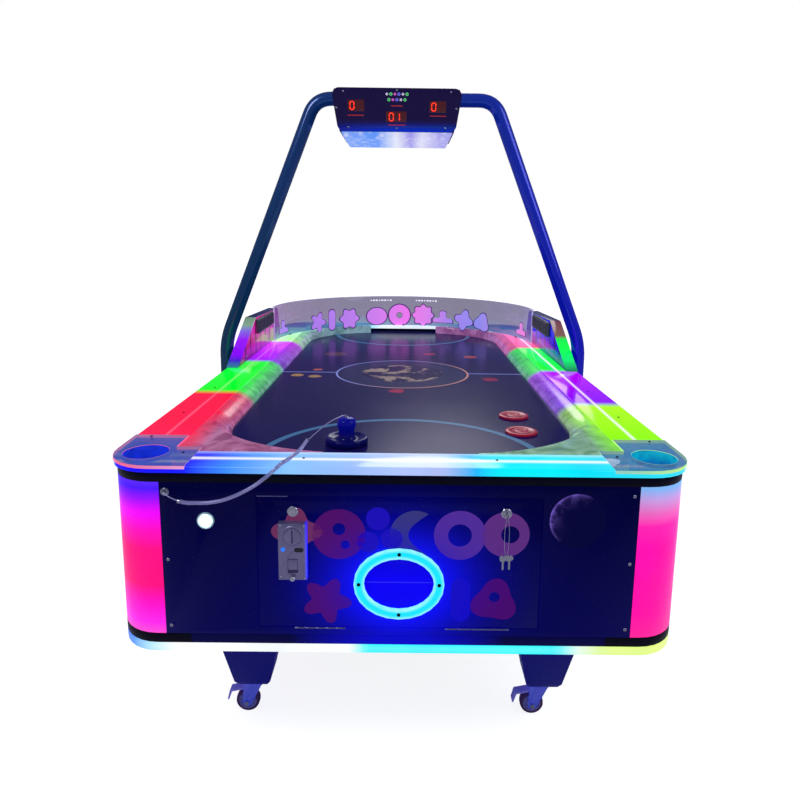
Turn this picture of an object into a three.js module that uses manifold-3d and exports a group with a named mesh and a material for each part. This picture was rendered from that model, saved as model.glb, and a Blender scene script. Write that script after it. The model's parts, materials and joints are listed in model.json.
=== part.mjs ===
// Air hockey table with a lit cabinet on castors, an overhead scoreboard on a tube arch,
// side wings and a clear end screen. Millimetres.
// X is to the right, Y runs away from the coin door and Z is up.
// The origin is on the floor, under the middle of the table.

import * as THREE from 'three';
import { mergeVertices } from 'three/addons/utils/BufferGeometryUtils.js';
import Module from 'manifold-3d';

// ---------------------------------------------------------------- driving sizes

// Whole table, over the rails
const tableWidth = 1300;
const tableLength = 2340;
const cornerRadius = 110;
const overhang = 8; // rails past the cabinet walls
const gap = 0.3; // between pieces that touch
const runningGap = 2; // round pieces that move

// Heights, from the floor up
const legHeight = 261;
const baseThickness = 23;
const wallHeight = 356;
const frameHeight = 24;
const railHeight = 16;

// Cabinet
const panelThickness = 15;
const cornerLightReach = 130; // from the rail's edge
const cornerLightThickness = 4;
const stripHeight = 20;
const stripThickness = 12;

// Playing surface
const sideRailWidth = 133;
const endRailWidth = 104;
const bankWidth = 52;
const bankHeight = 39;
const bankSteps = 4;
const poolRadius = 350;
const playThickness = 12;
const goalWidth = 356;
const goalDepth = 78;
const railRound = 7;

// Corner plates and their cups
const plateThickness = 8;
const plateEndReach = 190; // along the end rail
const plateSideReach = 219; // along the side rail
const plateLegWidth = 130;
const cupDepth = 58;
const cupWall = 3;
const cupRoom = [21, 6]; // rail outside the cup and inside it
const cupEndInset = 92; // cup's middle from the end rail's outer edge

// Air supply
const plenumHeight = 88;
const plenumWall = 12;
const blowerRadius = 120;
const blowerWidth = 100;
const blowerWall = 3;
const blowerY = 200;
const impellerRadius = 84;
const impellerWidth = 60;
const bladeCount = 12;
const ductWidth = 84;

// Door in the front wall, hinged along its lower edge
const doorWidth = 620;
const doorHeight = 305;
const doorLift = 21; // above the base board
const doorThickness = 12;
const outletLift = 106; // middle of the outlet above the door's lower edge
const outletHole = [77.5, 60.5];
const outletRimWidth = 22.5;
const outletRimHeight = 8;
const chuteWall = 4;
const chuteSideRoom = 2; // chute's inside past the goal on each side
const lockDrop = 31; // below the door's upper edge
const lockHeadRadius = 12;
const lockBarrelRadius = 9;
const lockHeadHeight = 6;
const lockCam = [44, 14, 3];

// Coin acceptor
const coinRoom = 22; // between the goal chute and the coin acceptor's body
const coinLift = 186; // middle above the door's lower edge
const coinPlate = [62, 130];
const coinProud = 17;
const coinBody = [50, 104, 58];
const coinSlot = [3, 30, 10];
const coinReturn = [22, 34, 24];
const flapSize = [20, 24, 3];

// Cash box
const cashBoxRoom = [2, 6]; // beside the door's edge and beside the chute
const cashBoxDepth = 147;
const cashBoxHeight = 90;

// Start button
const buttonX = -421;
const buttonDrop = 86; // below the cabinet wall's upper edge
const buttonRadius = 16;
const buttonLength = 22;
const buttonTravelRoom = 6;

// Castors
const castorRoom = 37; // above the wheel, up to the leg
const wheelRadius = 31.5;
const wheelWidth = 24;
const wheelSides = 24;
const castorTrail = 22;
const forkPlate = 4;
const castorPlate = [31, 5]; // half width, thickness
const axleRadius = 5;
const stemRadius = 11;

// Legs: [height above the castor, half width]
const legProfile = [[0, 38], [14, 47], [130, 71]];
const legInset = [268, 255]; // leg axis from the outer edges

// Arch and scoreboard
const archRadius = 25;
const archStandOff = 31; // tube axis outside the rails
const archFoot = 690;
const archShoulder = 865; // where the posts start to lean in
const archTop = 1755;
const archTopHalf = 327;
const archBend = 60;
const boardShift = -28; // hung a little left of the middle of the arch
const boardTop = [218, 205, 1752]; // half width, half depth, height
const boardBottom = [204, 148, 1622];
const boardShell = 3;
const lampDrop = 20;
const lampInset = 10;

// Wings and end screen
const wingThickness = 45;
// Along the table and above the rail: from the arch, and from the screen's centre
const wingFront = [[-134, 0], [176, 150]];
const wingRear = [[140, 138], [200, 0]];
const screenThickness = 8;
const screenSideRoom = 5; // inside the wings
const screenEndInset = 70; // from the rear rail's outer edge
const screenHeight = 160;

// Loose pieces
const malletRadius = 55;
const malletHeight = 70;
const malletPlace = [-139, 181]; // from the middle, and from the near end of the surface
const puckRadius = 44;
const puckThickness = 7;
const puckPlaces = [[136, 293], [131, 454]]; // from the right bank and the near end

// Tether: a thin steel wire at each end of a coiled steel sleeve
const wireRadius = 1.2;
const sleeveRadius = 4.5;
const studHeight = 6;
const studRadius = 5;
const anchorWire = [[-507, -1169.6, 719], [-490, -1176, 711], [-470, -1177, 703]];
const sleeve = [
  [-474, -1177, 704], [-455, -1181, 702], [-435, -1184, 703], [-408, -1187, 705], [-382, -1189, 710],
  [-356, -1190, 719], [-333, -1190, 730], [-307, -1189, 745], [-283, -1187, 763], [-266, -1182, 777.5],
  [-253, -1166, 786.8], [-246, -1143, 785.8], [-240, -1120, 785.3], [-233, -1095, 785.6], [-227, -1070, 788],
  [-221, -1046, 793], [-217, -1032, 797],
];
const malletWire = [
  [-219, -1040, 795], [-205, -1008, 802], [-193, -985, 809], [-178, -957, 815], [-166, -935, 818],
  [-153, -911, 818.5], [-146, -897, 818], [-141, -888, 816],
];

// ---------------------------------------------------------------- worked-out levels and faces

const halfWidth = tableWidth / 2;
const halfLength = tableLength / 2;
const wallX = halfWidth - overhang;
const wallY = halfLength - overhang;
const castorHeight = 2 * wheelRadius + castorRoom;
const baseBottom = castorHeight + legHeight;
const baseTop = baseBottom + baseThickness;
const playTop = baseTop + wallHeight;
const railBottom = playTop + frameHeight;
const railTop = railBottom + railHeight;
const innerX = halfWidth - sideRailWidth;
const innerY = halfLength - endRailWidth;
const poolX = innerX - bankWidth;
const cupRadius = (sideRailWidth - cupRoom[0] - cupRoom[1]) / 2 - cupWall;
const cupX = halfWidth - cupRoom[0] - cupWall - cupRadius;
const cupY = halfLength - cupEndInset;
const lightX = halfWidth - cornerLightReach;
const lightY = halfLength - cornerLightReach;
const doorBottom = baseTop + doorLift;
const outletZ = doorBottom + outletLift;
const chuteX = goalWidth / 2 + chuteSideRoom + chuteWall;
const coinX = -(chuteX + coinRoom + coinBody[0] / 2);
const lockX = -coinX;
const screenRadius = halfWidth - wingThickness - screenSideRoom;
const screenCentre = halfLength - screenEndInset - screenRadius;
const plenumTop = playTop - playThickness - gap;
const plenumBottom = plenumTop - plenumHeight;
const blowerZ = plenumBottom - blowerRadius - 10;

// ---------------------------------------------------------------- solids

const wasm = await Module();
wasm.setup();

function solidOf(geometry) {
  const bare = geometry.clone();
  bare.deleteAttribute('normal');
  bare.deleteAttribute('uv');
  const merged = mergeVertices(bare, 1e-3);
  return new wasm.Manifold(new wasm.Mesh({
    numProp: 3,
    vertProperties: merged.attributes.position.array,
    triVerts: Uint32Array.from(merged.index.array),
  }));
}

function geometryOf(solid) {
  const mesh = solid.getMesh();
  const shared = new THREE.BufferGeometry();
  shared.setAttribute('position', new THREE.BufferAttribute(Float32Array.from(mesh.vertProperties), 3));
  shared.setIndex([...mesh.triVerts]);
  const geometry = shared.toNonIndexed();
  geometry.computeVertexNormals();
  return geometry;
}

function join(first, ...others) {
  return geometryOf(others.reduce((solid, other) => solid.add(solidOf(other)), solidOf(first)));
}

function cut(first, ...others) {
  return geometryOf(others.reduce((solid, other) => solid.subtract(solidOf(other)), solidOf(first)));
}

// The same solid on another side of the table: each sign is 1 or -1.
function onSide(geometry, signX, signY) {
  const copy = geometry.index ? geometry.toNonIndexed() : geometry.clone();
  copy.scale(signX, signY, 1);
  if (signX * signY < 0) {
    const place = copy.attributes.position;
    const second = new THREE.Vector3();
    const third = new THREE.Vector3();
    for (let i = 0; i < place.count; i += 3) {
      second.fromBufferAttribute(place, i + 1);
      third.fromBufferAttribute(place, i + 2);
      place.setXYZ(i + 1, third.x, third.y, third.z);
      place.setXYZ(i + 2, second.x, second.y, second.z);
    }
  }
  copy.computeVertexNormals();
  return copy;
}

function block(left, right, front, back, bottom, top) {
  const geometry = new THREE.BoxGeometry(right - left, back - front, top - bottom);
  return geometry.translate((left + right) / 2, (front + back) / 2, (bottom + top) / 2);
}

// A frustum on a rectangle: lower and upper are [half width, half depth, height].
function tapered(lower, upper) {
  const geometry = new THREE.BoxGeometry(2, 2, 1).translate(0, 0, 0.5);
  const place = geometry.attributes.position;
  for (let i = 0; i < place.count; i += 1) {
    const [x, y, z] = place.getZ(i) > 0.5 ? upper : lower;
    place.setXYZ(i, place.getX(i) * x, place.getY(i) * y, z);
  }
  geometry.computeVertexNormals();
  return geometry;
}

// An outline in X and Y, between two heights.
function slab(shape, bottom, top, curveSegments = 4) {
  const settings = { depth: top - bottom, bevelEnabled: false, curveSegments };
  return new THREE.ExtrudeGeometry(shape, settings).translate(0, 0, bottom);
}

// An outline in X and Z, between two places along Y.
function upright(shape, front, back, curveSegments = 4) {
  const settings = { depth: back - front, bevelEnabled: false, curveSegments };
  const axes = new THREE.Matrix4().makeBasis(
    new THREE.Vector3(1, 0, 0), new THREE.Vector3(0, 0, 1), new THREE.Vector3(0, -1, 0));
  return new THREE.ExtrudeGeometry(shape, settings).applyMatrix4(axes).translate(0, back, 0);
}

// An outline in Y and Z, between two places along X.
function sideways(shape, left, right, curveSegments = 4) {
  const settings = { depth: right - left, bevelEnabled: false, curveSegments };
  const axes = new THREE.Matrix4().makeBasis(
    new THREE.Vector3(0, 1, 0), new THREE.Vector3(0, 0, 1), new THREE.Vector3(1, 0, 0));
  return new THREE.ExtrudeGeometry(shape, settings).applyMatrix4(axes).translate(left, 0, 0);
}

function polygon(points) {
  return new THREE.Shape(points.map(([x, y]) => new THREE.Vector2(x, y)));
}

function rectangle(left, right, low, high) {
  return polygon([[left, low], [right, low], [right, high], [left, high]]);
}

function ellipse(x, y, radiusX, radiusY = radiusX) {
  return new THREE.Shape().absellipse(x, y, radiusX, radiusY, 0, 2 * Math.PI);
}

function roundedRectangle(halfX, halfY, radius) {
  const quarter = Math.PI / 2;
  const shape = new THREE.Shape();
  shape.absarc(halfX - radius, radius - halfY, radius, -quarter, 0);
  shape.absarc(halfX - radius, halfY - radius, radius, 0, quarter);
  shape.absarc(radius - halfX, halfY - radius, radius, quarter, 2 * quarter);
  shape.absarc(radius - halfX, radius - halfY, radius, 2 * quarter, 3 * quarter);
  return shape;
}

function drumAlongY(radius, x, z, front, back, sides = 20) {
  const geometry = new THREE.CylinderGeometry(radius, radius, back - front, sides);
  return geometry.translate(x, (front + back) / 2, z);
}

function drumAlongZ(radius, x, y, bottom, top, sides = 20) {
  const geometry = new THREE.CylinderGeometry(radius, radius, top - bottom, sides);
  return geometry.rotateX(Math.PI / 2).translate(x, y, (bottom + top) / 2);
}

// A solid of revolution about Z: profile holds [radius, height], from the axis and back to it.
function turned(profile, x, y, sides = 20) {
  const points = profile.map(([radius, height]) => new THREE.Vector2(radius, height));
  return new THREE.LatheGeometry(points, sides).rotateX(Math.PI / 2).translate(x, y, 0);
}

function tubeAlong(path, radius, steps, sides) {
  const section = Array.from({ length: sides }, (_, i) => {
    const angle = (2 * Math.PI * i) / sides;
    return [radius * Math.cos(angle), radius * Math.sin(angle)];
  });
  return new THREE.ExtrudeGeometry(polygon(section), { steps, bevelEnabled: false, extrudePath: path });
}

function smoothPath(points) {
  return new THREE.CatmullRomCurve3(points.map((point) => new THREE.Vector3(...point)));
}

// ---------------------------------------------------------------- finishes

const finish = (color, roughness, metalness = 0, extra = {}) => ({ color, roughness, metalness, ...extra });
const finishes = {
  board: finish(0x05051c, 0.3),
  trim: finish(0x04040a, 0.45),
  blueLight: finish(0x2f6bff, 0.3, 0, { emissive: 0x1f4bd0 }),
  pinkLight: finish(0xff1f9a, 0.3, 0, { emissive: 0xc01070 }),
  cyanLight: finish(0x2fd8ff, 0.3, 0, { emissive: 0x20a0d0 }),
  greenLight: finish(0x38f060, 0.3, 0, { emissive: 0x20a040 }),
  bank: finish(0x9a8fb8, 0.25, 0, { transparent: true, opacity: 0.8 }),
  clear: finish(0x9fb4d8, 0.08, 0, { transparent: true, opacity: 0.4 }),
  surface: finish(0x1b1c3c, 0.25),
  wood: finish(0x8a6a48, 0.8),
  tube: finish(0x14407a, 0.35, 0.4),
  blackCase: finish(0x0a0a10, 0.4),
  lamp: finish(0xdfeaff, 0.4, 0, { emissive: 0x8fa8ff }),
  steel: finish(0xb8bcc8, 0.3, 0.9),
  sheetMetal: finish(0x8d9096, 0.5, 0.8),
  legPaint: finish(0x0a1030, 0.45, 0.2),
  tyre: finish(0x4a3a6a, 0.6),
  brake: finish(0x9d8fd0, 0.4, 0.3),
  mallet: finish(0x141a6a, 0.2),
  puck: finish(0xc0202c, 0.35),
  button: finish(0xf4fff4, 0.3, 0, { emissive: 0xc8ffd0 }),
};

const table = new THREE.Group();

function add(name, geometry, finishName) {
  const mesh = new THREE.Mesh(geometry, new THREE.MeshStandardMaterial(finishes[finishName]));
  mesh.name = name;
  table.add(mesh);
}

const ends = [['front', -1], ['rear', 1]];
const sides = [['left', -1], ['right', 1]];
const corners = ends.flatMap(([end, signY]) => sides.map(([side, signX]) => [`${end}_${side}`, signX, signY]));

// ---------------------------------------------------------------- cabinet

const underBase = baseBottom - gap;
const wallOutline = () => roundedRectangle(wallX, wallY, cornerRadius - overhang);

function addBase() {
  add('base_board', slab(wallOutline(), baseBottom, baseTop), 'trim');
  const ring = wallOutline();
  const inner = roundedRectangle(
    wallX - stripThickness, wallY - stripThickness, cornerRadius - overhang - stripThickness);
  ring.holes.push(inner);
  add('bottom_light_strip', slab(ring, underBase - stripHeight, underBase), 'blueLight');
}

// A bent acrylic sheet round each corner, lit from behind.
function addCornerLights() {
  const centreX = halfWidth - cornerRadius;
  const centreY = halfLength - cornerRadius;
  const outer = cornerRadius - overhang;
  const inner = outer - cornerLightThickness;
  const shape = new THREE.Shape();
  shape.moveTo(lightX, wallY);
  shape.lineTo(lightX, wallY - cornerLightThickness);
  shape.absarc(centreX, centreY, inner, Math.PI / 2, 0, true);
  shape.lineTo(wallX - cornerLightThickness, lightY);
  shape.lineTo(wallX, lightY);
  shape.absarc(centreX, centreY, outer, 0, Math.PI / 2);
  const sheet = slab(shape, baseTop + gap, playTop - gap);
  corners.forEach(([corner, signX, signY]) => {
    add(`${corner}_corner_light`, onSide(sheet, signX, signY), 'pinkLight');
  });
}

function addWalls() {
  const low = baseTop + gap;
  const high = playTop - gap;
  const outletShape = () => ellipse(0, outletZ, ...outletHole);
  const front = rectangle(gap - lightX, lightX - gap, low, high);
  const doorHalf = doorWidth / 2 + runningGap;
  front.holes.push(
    rectangle(-doorHalf, doorHalf, doorBottom - runningGap, doorBottom + doorHeight + runningGap),
    ellipse(buttonX, playTop - buttonDrop, buttonRadius + gap));
  const [studX, , studZ] = anchorWire[0];
  const stud = drumAlongY(studRadius, studX, studZ, -wallY - studHeight, panelThickness / 2 - wallY, 12);
  add('front_panel', join(upright(front, -wallY, panelThickness - wallY, 12), stud), 'board');

  const rear = rectangle(gap - lightX, lightX - gap, low, high);
  rear.holes.push(outletShape());
  add('rear_panel', upright(rear, wallY - panelThickness, wallY, 12), 'board');

  const side = block(wallX - panelThickness, wallX, gap - lightY, lightY - gap, low, high);
  sides.forEach(([name, signX]) => add(`${name}_side_panel`, onSide(side, signX, 1), 'board'));
}

// The black band under the rails. It is open over the playing surface, the goals and the cups.
function addTopFrame() {
  const outer = slab(wallOutline(), playTop, railBottom - gap);
  const pool = block(-innerX - gap, innerX + gap, -innerY - gap, innerY + gap, playTop - 1, railTop);
  const mouth = block(-goalWidth / 2, goalWidth / 2, -innerY - goalDepth, innerY + goalDepth, playTop - 1, railTop);
  const cups = corners.map(([, signX, signY]) => drumAlongZ(
    cupRadius + cupWall + 1, signX * cupX, signY * cupY, playTop - 1, railTop));
  add('top_frame', cut(outer, pool, mouth, ...cups), 'trim');
}

// ---------------------------------------------------------------- playing surface and air supply

const ductX = [blowerRadius - ductWidth, blowerRadius];

// The duct's hole in the plenum's floor, or with a wall, the duct's own outside.
function ductBlock(wall, bottom, top) {
  const halfBlower = blowerWidth / 2 - blowerWall + wall;
  return block(
    ductX[0] + blowerWall - wall, ductX[1] - blowerWall + wall,
    blowerY - halfBlower, blowerY + halfBlower, bottom, top);
}

function addPlayfield() {
  add('playfield', block(-innerX, innerX, -innerY, innerY, playTop - playThickness, playTop), 'surface');
  const plenumY = innerY - 60;
  const tray = block(-poolX, poolX, -plenumY, plenumY, plenumBottom, plenumTop);
  const air = block(
    plenumWall - poolX, poolX - plenumWall, plenumWall - plenumY, plenumY - plenumWall,
    plenumBottom + plenumWall, plenumTop + 1);
  add('air_plenum', cut(tray, air, ductBlock(0, plenumBottom - 1, plenumTop)), 'wood');
}

// The clear plastic that rises from the playing surface to the side rails and fills the corners.
function addBanks() {
  const bottom = playTop + gap;
  const top = playTop + bankHeight;
  const pool = new THREE.ExtrudeGeometry(roundedRectangle(poolX, innerY, poolRadius), {
    depth: 1, steps: bankSteps, bevelEnabled: false, curveSegments: 8,
  });
  const place = pool.attributes.position;
  for (let i = 0; i < place.count; i += 1) {
    const rise = place.getZ(i);
    const spread = 1 + (rise ** 2 * (bankWidth - 6)) / poolX;
    place.setXYZ(i, place.getX(i) * spread, place.getY(i), bottom - 0.5 + rise * (top - bottom + 1));
  }
  const full = block(0, innerX, -innerY, innerY, bottom, top);
  const platePlaces = corners.map(([, signX, signY]) => {
    const [x, y] = [halfWidth - plateEndReach - gap, halfLength - plateLegWidth - gap];
    return onSide(block(x, halfWidth, y, halfLength, railBottom - gap, railTop + 1), signX, signY);
  });
  const goals = [-1, 1].map((sign) => block(
    -goalWidth / 2, goalWidth / 2, sign * innerY - goalDepth / 2, sign * innerY + goalDepth / 2, bottom - 1, top + 1));
  const bank = cut(full, pool, ...platePlaces, ...goals);
  sides.forEach(([name, signX]) => add(`${name}_bank`, onSide(bank, signX, 1), 'bank'));
}

// A centrifugal fan: the motor hangs on the closed side, air comes in on the other and leaves upwards.
function addBlower() {
  const half = blowerWidth / 2;
  const centre = [0, blowerZ];
  const scroll = (radius, front, back) => drumAlongY(radius, ...centre, front, back, 28);
  const housing = cut(
    join(
      scroll(blowerRadius, blowerY - half, blowerY + half),
      ductBlock(blowerWall, blowerZ, plenumBottom - gap),
      drumAlongY(48, ...centre, blowerY + half - 1, blowerY + half + 86),
      block(-70, 70, blowerY - 40, blowerY + 40, baseTop + gap, blowerZ - blowerRadius + 12)),
    scroll(blowerRadius - blowerWall, blowerY - half + blowerWall, blowerY + half - blowerWall),
    ductBlock(0, blowerZ, plenumBottom + 1),
    scroll(blowerRadius * 0.5, blowerY - half - 1, blowerY));
  add('blower_housing', housing, 'sheetMetal');

  const start = blowerY - impellerWidth / 2;
  const end = blowerY + impellerWidth / 2;
  const blades = Array.from({ length: bladeCount }, (_, i) => {
    const blade = block(impellerRadius - 26, impellerRadius, start, end, -1.5, 1.5);
    return blade.rotateY((2 * Math.PI * i) / bladeCount).translate(0, 0, blowerZ);
  });
  const hub = drumAlongY(12, ...centre, start, end, 12);
  const disc = drumAlongY(impellerRadius, ...centre, end - 3, end, 28);
  add('blower_impeller', join(disc, hub, ...blades), 'steel');
}

function addPowerBox() {
  add('power_box', block(-420, -220, 240, 380, baseTop + gap, baseTop + 74), 'sheetMetal');
}

// Each goal drops the puck down a chute to the outlet below it.
function addGoals() {
  const outer = chuteX;
  const inner = outer - chuteWall;
  const front = panelThickness + gap - wallY;
  const back = gap * 2 - innerY + 30;
  const floorZ = outletZ - outletHole[1] - chuteWall;
  const channel = polygon([
    [-outer, front], [-inner, front], [-inner, back - chuteWall], [inner, back - chuteWall],
    [inner, front], [outer, front], [outer, back], [-outer, back],
  ]);
  const mouthTop = playTop - playThickness - gap;
  const walls = slab(channel, floorZ, mouthTop);
  const chute = join(walls, block(-outer, outer, front, back, floorZ, floorZ + chuteWall));
  ends.forEach(([name, signY]) => add(`${name}_goal_chute`, onSide(chute, 1, -signY), 'trim'));
}

// ---------------------------------------------------------------- rails and corner plates

// Where a corner plate lies, for the front right corner.
function cornerOutline() {
  const shape = new THREE.Shape();
  const step = halfLength - plateLegWidth;
  shape.moveTo(halfWidth - plateEndReach, -halfLength);
  shape.lineTo(halfWidth - cornerRadius, -halfLength);
  shape.absarc(halfWidth - cornerRadius, cornerRadius - halfLength, cornerRadius, -Math.PI / 2, 0);
  shape.lineTo(halfWidth, plateSideReach - halfLength);
  shape.lineTo(innerX + 3, plateSideReach - halfLength);
  shape.lineTo(innerX + 3, -step);
  shape.lineTo(halfWidth - plateEndReach, -step);
  return shape;
}

function addEndRails() {
  const half = halfWidth - plateEndReach - gap;
  const profile = new THREE.Shape();
  const front = -halfLength;
  const back = -innerY - gap;
  profile.moveTo(front, railBottom);
  profile.lineTo(back, railBottom);
  profile.absarc(back - railRound, railTop - railRound, railRound, 0, Math.PI / 2);
  profile.absarc(front + railRound, railTop - railRound, railRound, Math.PI / 2, Math.PI);
  const middle = sideways(profile, -half, half);
  const cornerPiece = cut(
    slab(cornerOutline(), railBottom, railTop - plateThickness - gap),
    drumAlongZ(cupRadius + cupWall + 1, cupX, -cupY, railBottom - 1, railTop));
  const bridge = block(half - 1, half + 2, front + railRound, back - railRound, railBottom, railTop - plateThickness - gap);
  const rail = join(middle, bridge, onSide(bridge, -1, 1), cornerPiece, onSide(cornerPiece, -1, 1));
  ends.forEach(([name, signY]) => add(`${name}_rail`, onSide(rail, 1, -signY), 'cyanLight'));
}

function addSideRails() {
  const reach = halfLength - plateSideReach - gap;
  const profile = new THREE.Shape();
  profile.moveTo(innerX + gap, railBottom);
  profile.lineTo(halfWidth, railBottom);
  profile.absarc(halfWidth - railRound, railTop - railRound, railRound, 0, Math.PI / 2);
  profile.lineTo(innerX + gap, railTop);
  const rail = upright(profile, -reach, reach, 4);
  sides.forEach(([name, signX]) => add(`${name}_rail`, onSide(rail, signX, 1), 'greenLight'));
}

function addCornerPlates() {
  const bottom = railTop - cupDepth;
  const cup = drumAlongZ(cupRadius + cupWall, cupX, -cupY, bottom - cupWall, railTop - 1, 28);
  const hollow = drumAlongZ(cupRadius, cupX, -cupY, bottom, railTop + 1, 28);
  const plate = cut(join(slab(cornerOutline(), railTop - plateThickness, railTop), cup), hollow);
  corners.forEach(([corner, signX, signY]) => {
    add(`${corner}_corner_plate`, onSide(plate, signX, -signY), 'clear');
  });
}

// ---------------------------------------------------------------- door and what it carries

const doorFront = -wallY;
const doorBack = doorFront + doorThickness;
const lockZ = doorBottom + doorHeight - lockDrop;
const coinZ = doorBottom + coinLift;

function addDoor() {
  const half = doorWidth / 2;
  const door = rectangle(-half, half, doorBottom, doorBottom + doorHeight);
  const [bodyX, bodyZ] = [coinBody[0] / 2 + gap, coinBody[1] / 2 + gap];
  door.holes.push(
    ellipse(0, outletZ, ...outletHole),
    ellipse(-lockX, lockZ, lockBarrelRadius + 1),
    ellipse(lockX, lockZ, lockBarrelRadius + 1),
    rectangle(coinX - bodyX, coinX + bodyX, coinZ - bodyZ, coinZ + bodyZ));
  add('service_door', upright(door, doorFront, doorBack, 12), 'board');
}

function addOutletRim() {
  const rim = ellipse(0, outletZ, outletHole[0] + outletRimWidth, outletHole[1] + outletRimWidth);
  rim.holes.push(ellipse(0, outletZ, ...outletHole));
  const back = doorFront - gap;
  add('outlet_rim', upright(rim, back - outletRimHeight, back, 12), 'cyanLight');
}

// Cam locks, drawn with their cams turned clear of the wall.
function addLocks() {
  const [camLength, camWidth, camThickness] = lockCam;
  sides.forEach(([name, signX]) => {
    const x = signX * lockX;
    const head = drumAlongY(lockHeadRadius, x, lockZ, doorFront - gap - lockHeadHeight, doorFront - gap);
    const camFront = panelThickness - wallY + 1;
    const barrel = drumAlongY(lockBarrelRadius, x, lockZ, doorFront - 1, camFront + 1);
    const camFar = x - signX * (camLength - camWidth / 2);
    const cam = block(
      Math.min(x, camFar), Math.max(x, camFar), camFront, camFront + camThickness,
      lockZ - camWidth / 2, lockZ + camWidth / 2);
    add(`${name}_lock`, join(head, barrel, cam), 'steel');
  });
}

const flapHingeZ = coinZ - 20;
const coinFace = doorFront - gap - coinProud;

function addCoinAcceptor() {
  const [halfX, halfZ] = [coinPlate[0] / 2, coinPlate[1] / 2];
  const back = doorFront - gap;
  const plate = block(coinX - halfX, coinX + halfX, coinFace, back, coinZ - halfZ, coinZ + halfZ);
  const [bodyX, bodyZ] = [coinBody[0] / 2, coinBody[1] / 2];
  const body = block(coinX - bodyX, coinX + bodyX, back - 1, back + coinBody[2], coinZ - bodyZ, coinZ + bodyZ);
  const dial = drumAlongY(19, coinX, coinZ + 36, coinFace - 3, coinFace + 1, 24);
  const slotZ = coinZ + 36;
  const slot = block(
    coinX - coinSlot[0] / 2, coinX + coinSlot[0] / 2, coinFace - 4, coinFace + coinSlot[2],
    slotZ - coinSlot[1] / 2, slotZ + coinSlot[1] / 2);
  const chuteTop = flapHingeZ + 4;
  const returnCup = block(
    coinX - coinReturn[0] / 2, coinX + coinReturn[0] / 2, coinFace - 1, coinFace + coinReturn[2],
    chuteTop - coinReturn[1], chuteTop);
  add('coin_acceptor', cut(join(plate, body, dial), slot, returnCup), 'steel');

  // The flap hangs at the face of the return cup and swings inwards.
  const [flapWidth, flapHeight, flapThickness] = flapSize;
  add('coin_return_flap', block(
    coinX - flapWidth / 2, coinX + flapWidth / 2, coinFace + 0.5, coinFace + 0.5 + flapThickness,
    flapHingeZ + 2 - flapHeight, flapHingeZ + 2), 'brake');
}

function addStartButton() {
  const front = -wallY - buttonTravelRoom;
  const z = playTop - buttonDrop;
  add('start_button', drumAlongY(buttonRadius - gap, buttonX, z, front, front + buttonLength, 24), 'button');
}

// An open box under the coin acceptor, reached through the door.
function addCashBox() {
  const [left, right] = [cashBoxRoom[0] - doorWidth / 2, -chuteX - cashBoxRoom[1]];
  const front = panelThickness + 3 - wallY;
  const back = front + cashBoxDepth;
  const [low, high] = [baseTop + gap, baseTop + cashBoxHeight];
  const outer = block(left, right, front, back, low, high);
  const inner = block(left + 2, right - 2, front + 2, back - 2, low + 2, high + 1);
  add('cash_box', cut(outer, inner), 'sheetMetal');
}

// ---------------------------------------------------------------- legs and castors

const legX = halfWidth - legInset[0];
const legY = halfLength - legInset[1];
const castorTop = castorHeight - castorPlate[1] - gap;

function addLeg(corner, signX, signY) {
  const levels = legProfile.map(([rise, half]) => [half, half, castorHeight + rise]);
  const widest = levels[levels.length - 1][0];
  levels.push([widest, widest, baseBottom - gap]);
  const stages = levels.slice(1).map((upper, i) => tapered(levels[i], upper));
  const [plateHalf, plateDepth] = castorPlate;
  const plate = block(
    -plateHalf, plateHalf, -plateHalf, plateHalf, castorHeight - plateDepth, castorHeight + 1);
  add(`${corner}_leg`, join(...stages, plate).translate(signX * legX, signY * legY, 0), 'legPaint');
}

// A swivel fork with its wheel behind the stem, for a stem at the origin and a trail towards +X.
function forkGeometry() {
  const topZ = castorTop - 8;
  const inside = wheelWidth / 2 + 2;
  const cheek = new THREE.Shape();
  cheek.moveTo(-stemRadius - 8, topZ);
  cheek.lineTo(castorTrail - 10, wheelRadius - 9);
  cheek.absarc(castorTrail, wheelRadius, 12, -2.4, -0.2);
  cheek.lineTo(castorTrail + 8, topZ);
  const sheet = (front) => upright(cheek, front, front + forkPlate, 6);
  const bridge = block(
    -stemRadius - 8, castorTrail + 8, -inside - forkPlate, inside + forkPlate, topZ - forkPlate, topZ);
  const raceway = drumAlongZ(2 * stemRadius, 0, 0, topZ - 1, castorTop, 20);
  const axle = drumAlongY(axleRadius, castorTrail, wheelRadius, -inside - forkPlate - 3, inside + forkPlate + 3, 12);
  return join(sheet(-inside - forkPlate), sheet(inside), bridge, raceway, axle);
}

function wheelGeometry() {
  const tread = new THREE.CylinderGeometry(wheelRadius, wheelRadius, wheelWidth, wheelSides);
  tread.rotateY(Math.PI / wheelSides);
  const bore = drumAlongY(axleRadius + 0.5, 0, 0, -wheelWidth, wheelWidth, 12);
  const lowest = wheelRadius * Math.cos(Math.PI / wheelSides);
  return cut(tread, bore).translate(castorTrail, 0, lowest);
}

// A foot pedal that turns between the fork's cheeks and reaches down past the wheel.
function pedalGeometry() {
  const start = castorTrail + 4;
  const half = wheelWidth / 2 + 1;
  const [low, high] = [2 * wheelRadius + 3, 2 * wheelRadius + 9];
  const arm = polygon([
    [start, low], [start + 38, low - 8], [start + 46, low - 32],
    [start + 50, low - 31], [start + 43, low - 3], [start, high],
  ]);
  return upright(arm, -half, half);
}

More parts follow.
